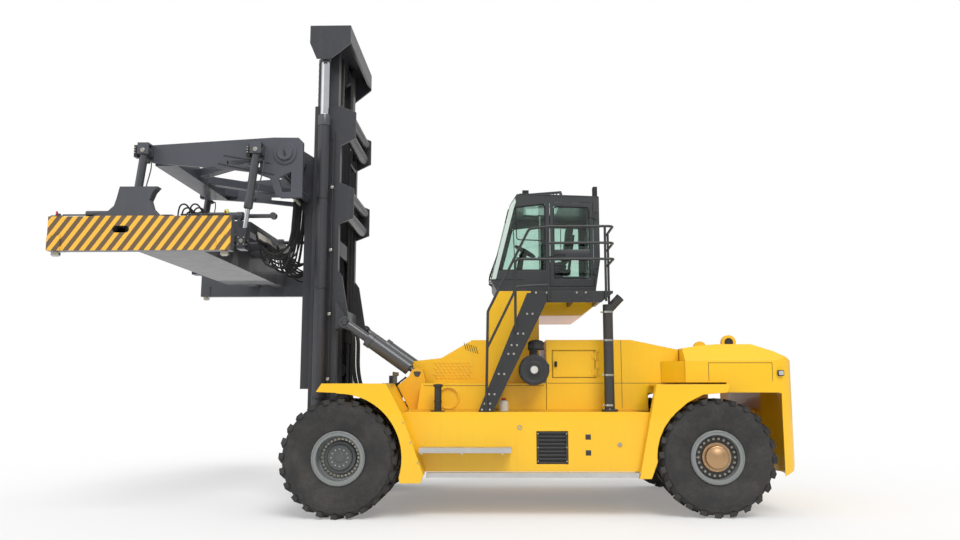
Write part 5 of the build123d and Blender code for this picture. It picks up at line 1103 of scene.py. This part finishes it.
# Hoses that run up the back of the mast and spread towards its top, with their clamps.
mast_hose = [(2.5, 1), (3.6, 1), (4.3, 1), (4.62, 1.05), (5.2, 1.2), (5.6, 1.2)]  # heights and shares
mast_hoses = [hose([at(0.262, offset * share, z) for z, share in mast_hose], 0.0135)
              for offset in (-0.20, -0.155, -0.11, 0.12, 0.165)]
piece("mast_hoses", mast_hoses, hose_rubber, "mast_outer")
straps = [block(at(0.235, -0.27, z - 0.02), at(0.282, 0.22, z + 0.02)) for z in (2.85, 4.55, 5.45)]
piece("mast_hose_clamps", straps, black, "mast_outer")


# Pins that show: keeper plates with bolts on the mast's feet and the tilt cylinders.
def keeper(place, radius, bolt_gap=0.035, thick=0.016):
    """A round pin's end with its keeper plate and two bolts, facing out of the truck's left side."""
    x, y, z = place
    bar_z, half = z + radius * 0.55, bolt_gap + 0.016
    shapes = [turned(stud(radius, radius - 0.006, 0.004, 0.008), place, ACROSS, 32),
              block((x - half, y, bar_z - 0.012), (x + half, y + thick, bar_z + 0.012), 0.003)]
    return shapes + [turned(stud(0.010, 0.007, 0.006, 0.007), (x + shift, y + thick, bar_z), ACROSS, 6)
                     for shift in (-bolt_gap, bolt_gap)]


for name, place, radius, body, slot in (
        ("mast_foot_keepers", at(0.45, 0.9405, 0.95), 0.055, "chassis", "frame_yellow"),
        ("tilt_base_keepers", at(-0.985, 1.0855, 1.975), 0.043, "chassis", "frame_yellow"),
        ("tilt_lug_keepers", at(0.138, 1.0525, 2.763), 0.042, "mast_outer", "mast_grey")):
    piece(name, both(keeper(place, radius)), cylinder_paint, body, sharp=30)


# ---------------------------------------------------------------- lift arms and hanging cylinders
hub = np.array(at(1.062, 1.341, 5.35))
hub_cap = [(0, 0), (0, 0.113), (0.006, 0.118), (0.012, 0.112), (0.012, 0.092), (0.008, 0.088), (0.008, 0.0)]
piece("arm_hub_caps", both([turned(hub_cap, hub, ACROSS)]), arm_grey, "lift_arms")
hub_key = block(hub + (-0.016, 0.008, -0.055), hub + (0.016, 0.020, 0.055), 0.008)
piece("arm_hub_keys", both([ring_of(hub_key, hub, ACROSS, 1, math.radians(12))]), black, "lift_arms")
ribs = []
for (x0, z0), (x1, z1) in (((2.02, 5.33), (1.29, 5.20)), ((2.10, 5.20), (1.22, 5.02))):
    outline = [(ahead(x0), z0), (ahead(x1), z1), (ahead(x1), z1 - 0.02), (ahead(x0), z0 - 0.02)]
    ribs.append(plate(outline, 1.2975, 1.3005))
piece("arm_weld_ribs", both(ribs), black, "lift_arms")

# The four slope cylinders hang with the same lean, out and down.
lean = math.atan2(0.160, 1.410)
down = np.array((math.sin(lean), 0.0, -math.cos(lean)))
slope_gland = [(0.80, 0.062), (0.80, 0.0665), (0.892, 0.0665), (0.903, 0.060), (0.9055, 0.037)]
slope_wiper = [(0.905, 0.0365), (0.905, 0.052), (0.914, 0.048), (0.917, 0.0365)]
shapes, rings, ports, pins = [], [], [], []
for top in (np.array(at(x, 1.45, 5.35)) for x in (3.18, 1.46)):
    shapes.append(turned(slope_gland, top, down, 36))
    rings.append(turned(slope_wiper, top, down, 36))
    for away in (0.16, 0.76):
        seat = top + down * away
        ports.append(block(seat + (-0.10, -0.035, -0.03), seat + (-0.045, 0.035, 0.03), 0.006))
        ports.append(rod(seat + (-0.10, 0.015, 0), seat + (-0.135, 0.015, 0), 0.014, 6, 0.002))
    ports.append(block(top + (0.09, -0.07, -0.10), top + (0.15, 0.05, 0.09), 0.008))
    for shift in (-0.04, 0.0, 0.04):
        pins.append(rod(top + (0.12, 0.05, shift), top + (0.12, 0.085, shift), 0.013, 6, 0.002))
    pins.append(turned(stud(0.034, 0.028, 0.012, 0.016), top + (0, 0.0785, 0), ACROSS, 24))
    line = ((0.16, -0.135, 0.015), (0.3, -0.15, 0.02), (0.6, -0.12, 0.02), (0.76, -0.135, 0.015))
    shapes.append(hose([top + down * away + (x, y, 0) for away, x, y in line], 0.010, corners=8))
piece("slope_cylinder_glands", both(shapes), cylinder_paint, "lift_arms")
piece("slope_cylinder_wipers", both(rings), black, "lift_arms")
piece("slope_cylinder_ports", both(ports), black, "lift_arms", bevel=0.002)
piece("slope_cylinder_fittings", both(pins), zinc, "lift_arms", sharp=30)

# ---------------------------------------------------------------- hanger frame and its hoses
clevis_pins, clevis_y, clevis_z = [], 1.5585, 3.94
for x in (3.34, 1.62):
    clevis_pins.append(turned(stud(0.030, 0.026, 0.012, 0.015), at(x, clevis_y, clevis_z), ACROSS, 24))
for x in (3.34, 1.62):
    corners = [at(x + sx, clevis_y, clevis_z + sz) for sx in (-0.042, 0.042) for sz in (-0.052, 0.052)]
    clevis_pins.append(bolts(corners, 0.009))
piece("clevis_pins", both(clevis_pins), zinc, "hanger_frame", sharp=30)
slew_ring = [(0, 0.36), (0, 0.44), (0.022, 0.44), (0.026, 0.43), (0.026, 0.36)]
piece("slew_ring", [turned(slew_ring, at(2.53, 0, 4.0505), UP, 64)], zinc, "spreader_frame")
sway_y, sway_z, backwards = 1.225, 4.38, (-1, 0, 0)
sway_end = [(0, 0.060), (0, 0.066), (0.09, 0.066), (0.095, 0.062), (0.0955, 0.033)]
sway = [turned(sway_end, at(1.79, sway_y, sway_z), backwards, 36),
        turned(band(0.0605, 0.066, 0, 0.05), at(2.44, sway_y, sway_z), backwards, 36),
        rod(at(1.23, sway_y - 0.045, sway_z), at(1.23, sway_y + 0.045, sway_z), 0.052, 32, 0.004)]
piece("sway_cylinder_ends", both(sway), cylinder_paint, "hanger_frame")

# Hoses that hang in loops from the lift arms to the hanger frame, with their ends and rails.
bundle = []
hose_places = [0.30 + 0.085 * index for index in range(9)]
for index, y in enumerate(hose_places):
    drop = 3.62 + 0.05 * ((index * 4) % 7)
    back = 0.96 + 0.012 * ((index * 5) % 4)
    line = [(back, y, 4.70), (back + 0.02, y, 4.35), (1.06, y * 1.02, drop + 0.12), (1.26, y * 1.03, drop),
            (1.46, y * 1.02, drop + 0.12), (1.52, y, 4.0), (1.565, y, 4.16)]
    bundle.append(hose([at(*place) for place in line], 0.0155 if index % 3 else 0.021, steps=7))
drape = piece("spreader_hoses", both(bundle), hose_rubber, None)
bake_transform(drape)
lower_ends = [rod(at(1.545, y, 4.175), at(1.50, y, 4.06), 0.0235, 6, 0.003) for y in hose_places]
upper_ends = [rod(at(0.97, y, 4.745), at(0.972, y, 4.655), 0.0235, 6, 0.003) for y in hose_places]
piece("hose_ends_lower", both(lower_ends), zinc, "hanger_frame", sharp=30)
piece("hose_ends_upper", both(upper_ends), zinc, "lift_arms", sharp=30)
piece("hose_rail_lower", [block(at(1.535, -1.05, 4.15), at(1.60, 1.05, 4.21), 0.006)], black, "hanger_frame")
piece("hose_rail_upper", [block(at(0.93, -1.227, 4.70), at(1.01, 1.227, 4.76), 0.006)], black, "lift_arms")

# ---------------------------------------------------------------- spreader
middle_x = ahead(2.53)
BEAM_Y, BEAM_TOP = 2.9265, 4.03
LOCK_REACH = 1.1295  # from the middle of an end beam to each of its locks

# On each end beam: a lamp, and the landing pins, lock actuators, their links and flags.
lamp_x = middle_x - 1.225 + 0.09
lamp_base = [block((lamp_x - 0.05, 2.88, BEAM_TOP), (lamp_x + 0.05, 2.985, BEAM_TOP + 0.035), 0.006)]
lamp_dome = [(0, 0.034), (0.03, 0.034), (0.06, 0.024), (0.068, 0.0)]
lamp = [turned(lamp_dome, (lamp_x, 2.9325, BEAM_TOP + 0.034), UP, 24)]
gear, flags = [], []
for fore in (-1, 1):
    lock = np.array((middle_x + fore * LOCK_REACH, BEAM_Y, BEAM_TOP))
    gear.append(rod(lock + (0, 0, -0.30), lock + (0, 0, 0.05), 0.034, 24, 0.004))
    gear.append(block(lock + (-0.075, -0.055, 0), lock + (0.075, 0.055, 0.018)))
    gear.append(rod(lock + (-fore * 0.05, -0.02, 0.035), lock + (-fore * 0.62, -0.02, 0.035), 0.011, 16,
                    0.002))
    flags.append(block(lock + (-0.012, 0.03, 0.018), lock + (0.012, 0.045, 0.075), 0.003))
beam_middle = np.array((middle_x, BEAM_Y, BEAM_TOP))
gear.append(rod(beam_middle + (0.38, 0.02, 0.045), beam_middle + (0.74, 0.02, 0.045), 0.036, 24, 0.004))
for side_name, side in sides.items():
    body = f"telescope_{side_name}"
    piece(f"{body}_lamp_base", on_side(lamp_base, side), black, body)
    piece(f"{body}_lamp", on_side(lamp, side), lime_lens, body)
    piece(f"{body}_lock_gear", on_side(gear, side), cylinder_paint, body, bevel=0.0015)
    piece(f"{body}_lock_flags", on_side(flags, side), red_lens, body)

# On each sleeve: a manifold with its coils and hose loops.
corner = np.array((middle_x - 0.40, 1.66, 4.05))
manifold = [block(corner, corner + (0.34, 0.20, 0.17), 0.008),
            block(corner + (0.42, 0, 0), corner + (0.60, 0.17, 0.24), 0.012)]
coils, loops = [], []
for index in range(4):
    spot = corner + (0.05 + 0.08 * index, 0.06, 0.17)
    coils.append(rod(spot, spot + (0, 0, 0.085), 0.024, 20, 0.004))
    coils.append(rod(spot + (0, 0.08, 0), spot + (0, 0.08, 0.05), 0.017, 6, 0.002))
for index in range(6):
    spot = corner + (0.03 + 0.055 * index, 0.21, 0.05)
    rise = 0.16 + 0.05 * (index % 3)
    line = [(0, 0, 0), (0.0, 0.07, 0.02), (-0.05, 0.14, rise), (-0.16, 0.16, rise + 0.02),
            (-0.27, 0.12, 0.08), (-0.30, 0.10, -0.04)]
    loops.append(hose(spot + line, 0.012, corners=8))
for side_name, side in sides.items():
    piece(f"manifold_{side_name}", on_side(manifold, side), black, "spreader_frame")
    piece(f"manifold_coils_{side_name}", on_side(coils, side), zinc, "spreader_frame")
    piece(f"manifold_hoses_{side_name}", on_side(loops, side), hose_rubber, "spreader_frame")

# Tubes over both sleeves, bands round their mouths and the stretch cylinder between them.
tubes = [rod((middle_x + x, -1.55, 4.068), (middle_x + x, 1.55, 4.068), 0.012, 16, 0.002)
         for x in (-0.44, -0.41, 0.44, 0.47)]
piece("sleeve_tubes", tubes, black, "spreader_frame")
mouth_bands = [block((middle_x - 0.485, side * 2.165, low), (middle_x + 0.485, side * 2.2035, high), 0.003)
               for low, high in ((3.724, 3.742), (4.036, 4.0545)) for side in (1, -1)]
piece("sleeve_mouth_bands", mouth_bands, grey, "spreader_frame")
stretch = [rod((middle_x + 0.18, -1.5, 4.088), (middle_x + 0.18, 0.2, 4.088), 0.036, 32, 0.004)]
piece("stretch_cylinder", stretch, cylinder_paint, "spreader_frame")


# ---------------------------------------------------------------- wheels
# Profiles are (outwards, radius) pairs from the face of the rim's disc.
front_ring = [(0.0, 0.290), (0.006, 0.290), (0.006, 0.300), (0.012, 0.302), (0.014, 0.307), (-0.002, 0.3076)]
rear_ring = [(0.0, 0.208), (0.006, 0.208), (0.006, 0.296), (0.0, 0.298)]
front_cap = [(0.0, 0.0), (0.0, 0.229), (0.05, 0.227), (0.058, 0.220), (0.060, 0.208), (0.060, 0.181),
             (0.078, 0.178), (0.086, 0.170), (0.088, 0.160), (0.088, 0.070), (0.096, 0.062), (0.098, 0.030),
             (0.098, 0.0)]
rear_cap = [(0.0, 0.0), (0.0, 0.206), (0.030, 0.205), (0.037, 0.200), (0.038, 0.164), (0.082, 0.161),
            (0.094, 0.154), (0.098, 0.144), (0.098, 0.108), (0.101, 0.104), (0.102, 0.060), (0.1045, 0.055),
            (0.1045, 0.0)]
nut_profile = [(0, 0), (0, 0.0235), (0.004, 0.0235), (0.005, 0.0195), (0.030, 0.0195), (0.0335, 0.017),
               (0.034, 0.011), (0.044, 0.0105), (0.047, 0.008), (0.047, 0)]
bolt_profile = [(0, 0), (0, 0.011), (0.007, 0.0105), (0.008, 0.007), (0.008, 0)]
lip_profile = [(-0.004, 0.3500), (0.005, 0.3505), (0.008, 0.354), (0.008, 0.360), (0.005, 0.364),
               (-0.004, 0.365)]
NUT_CIRCLE = 0.255
# bolts holds their height on the cap, the radius of their circle and their number.
wheel_kinds = {
    "front": dict(node="front_{}_rims", depth=0.2233, ring=front_ring, ring_finish=rim_paint, nuts=30,
                  cap=front_cap, cap_finish=cap_grey, bolts=(0.088, 0.118, 12)),
    "rear": dict(node="rear_{}_rim", depth=0.1073, ring=rear_ring, ring_finish=black, nuts=22,
                 cap=rear_cap, cap_finish=brass, bolts=(0.038, 0.184, 12))}


def around(count, radius, side):
    """Places in a circle about an axle across the truck."""
    angle = np.linspace(0, 2 * np.pi, count, endpoint=False)
    return radius * np.stack([np.cos(angle), 0 * angle, np.sin(angle) * side], axis=-1)


def dress_wheel(kind, side_name, side):
    """A wheel's nuts, cap, valve and lock ring, seated on the disc of its rim."""
    parts = wheel_kinds[kind]
    body = f"{kind}_{side_name}_wheel"
    low, high = node_box(parts["node"].format(side_name))
    axle = (low + high) / 2
    axle[1] = high[1] if side > 0 else low[1]
    out = np.array((0.0, side, 0.0))
    seat = axle - out * parts["depth"]
    piece(f"{body}_ring", [turned(parts["ring"], seat, out, 64)], parts["ring_finish"], body)
    nut = turned(nut_profile, (0, 0, 0), out, 6)
    piece(f"{body}_nuts", [spread(nut, seat + around(parts["nuts"], NUT_CIRCLE, side))], zinc, body, sharp=25)
    piece(f"{body}_cap", [turned(parts["cap"], seat, out, 56)], parts["cap_finish"], body)
    height, radius, count = parts["bolts"]
    bolt = turned(bolt_profile, (0, 0, 0), out, 6)
    bolt_places = seat + out * height + around(count, radius, side)
    piece(f"{body}_cap_bolts", [spread(bolt, bolt_places)], zinc, body, sharp=25)
    piece(f"{body}_lock_ring", [turned(lip_profile, axle, out, 64)], rim_paint, body)
    stem = [seat + (0.296, 0, 0), seat + out * 0.05 + (0.290, 0, 0), seat + out * 0.10 + (0.297, 0, 0.004)]
    piece(f"{body}_valve", [hose(stem, 0.007, UP, 8, 5)], zinc, body)


for side_name, side in sides.items():
    for kind in wheel_kinds:
        dress_wheel(kind, side_name, side)


# ---------------------------------------------------------------- floor, light and camera
WORLD_LIGHT = 0.75
FADE_START, FADE_END = 7.0, 15.0  # distances from the frame's origin over which the floor turns white


def stage_floor():
    """A pale disc under the truck that fades to plain white away from it."""
    points, faces = turned([(0.0, 0.0), (0.0, 12.0), (0.0, 40.0)], (0, 0, -0.004), (0, 0, 1), 96)
    mesh = bpy.data.meshes.new("floor")
    mesh.from_pydata(points, [], [face for group in faces for face in group.tolist()])
    floor = bpy.data.objects.new("floor", mesh)
    bpy.context.scene.collection.objects.link(floor)
    finish, tree, shader = new_finish("pale_floor", 0.9)
    shader.inputs["Base Color"].default_value = (0.86, 0.86, 0.86, 1)
    place = add(tree, "VectorMath", [(0, object_place(tree))], operation="LENGTH")
    speckle = noise(tree, object_place(tree), 40.0, 2.0)
    tree.links.new(ranged(tree, speckle, 0.3, 0.7, 0.86, 0.92), shader.inputs["Roughness"])
    white = add(tree, "Emission", Strength=1.0)
    path = tree.nodes.new("ShaderNodeLightPath")
    seen = math_node(tree, "MAXIMUM", path.outputs["Is Camera Ray"], path.outputs["Is Transmission Ray"])
    seen = math_node(tree, "MAXIMUM", seen, path.outputs["Is Glossy Ray"])
    far = ranged(tree, place.outputs["Value"], FADE_START, FADE_END, 0.25, 1.0)
    blend = tree.nodes.new("ShaderNodeMixShader")
    tree.links.new(math_node(tree, "MULTIPLY", seen, far), blend.inputs[0])
    tree.links.new(shader.outputs[0], blend.inputs[1])
    tree.links.new(white.outputs[0], blend.inputs[2])
    tree.links.new(blend.outputs[0], tree.nodes["Material Output"].inputs["Surface"])
    mesh.materials.append(finish)


def soft_world():
    """A white backdrop that lights the truck evenly and a little less strongly than it looks."""
    world = bpy.data.worlds.new("studio")
    bpy.context.scene.world = world
    world.use_nodes = True
    tree = world.node_tree
    lit = tree.nodes["Background"]
    place = add(tree, "SeparateXYZ", [("Vector", tree.nodes.new("ShaderNodeTexCoord").outputs["Generated"])])
    high = ranged(tree, place.outputs["Z"], -0.3, 0.7)
    sky = mix_colour(tree, high, (0.5, 0.5, 0.5, 1), (1.0, 1.0, 1.0, 1))
    tree.links.new(sky, lit.inputs["Color"])
    lit.inputs["Strength"].default_value = WORLD_LIGHT
    seen = add(tree, "Background", Strength=1.0)
    seen.inputs["Color"].default_value = (1, 1, 1, 1)
    path = tree.nodes.new("ShaderNodeLightPath")
    direct = math_node(tree, "MAXIMUM", path.outputs["Is Camera Ray"], path.outputs["Is Transmission Ray"])
    blend = tree.nodes.new("ShaderNodeMixShader")
    tree.links.new(direct, blend.inputs[0])
    tree.links.new(lit.outputs[0], blend.inputs[1])
    tree.links.new(seen.outputs[0], blend.inputs[2])
    tree.links.new(blend.outputs[0], tree.nodes["World Output"].inputs["Surface"])


def sun(name, strength, spread_degrees, turn_degrees):
    """A soft lamp from far away, turned by two angles: away from straight down, then round."""
    lamp = bpy.data.lights.new(name, "SUN")
    lamp.energy = strength
    lamp.angle = math.radians(spread_degrees)
    holder = bpy.data.objects.new(name, lamp)
    holder.rotation_euler = [math.radians(angle) for angle in turn_degrees]
    bpy.context.scene.collection.objects.link(holder)


stage_floor()
soft_world()
sun("key_light", 1.7, 30, (42, 0, 200))
sun("fill_light", 0.5, 60, (65, 0, 120))

camera_place = (-0.8671, 13.886, 1.803)
camera_turn = (97.774, 0.046, 181.26)
camera = bpy.data.cameras.new("view")
camera.sensor_width = 36.0
camera.lens = 31.704
holder = bpy.data.objects.new("view", camera)
holder.location = camera_place
holder.rotation_euler = [math.radians(angle) for angle in camera_turn]
bpy.context.scene.collection.objects.link(holder)
bpy.context.scene.camera = holder
bpy.context.scene.view_settings.view_transform = "Standard"
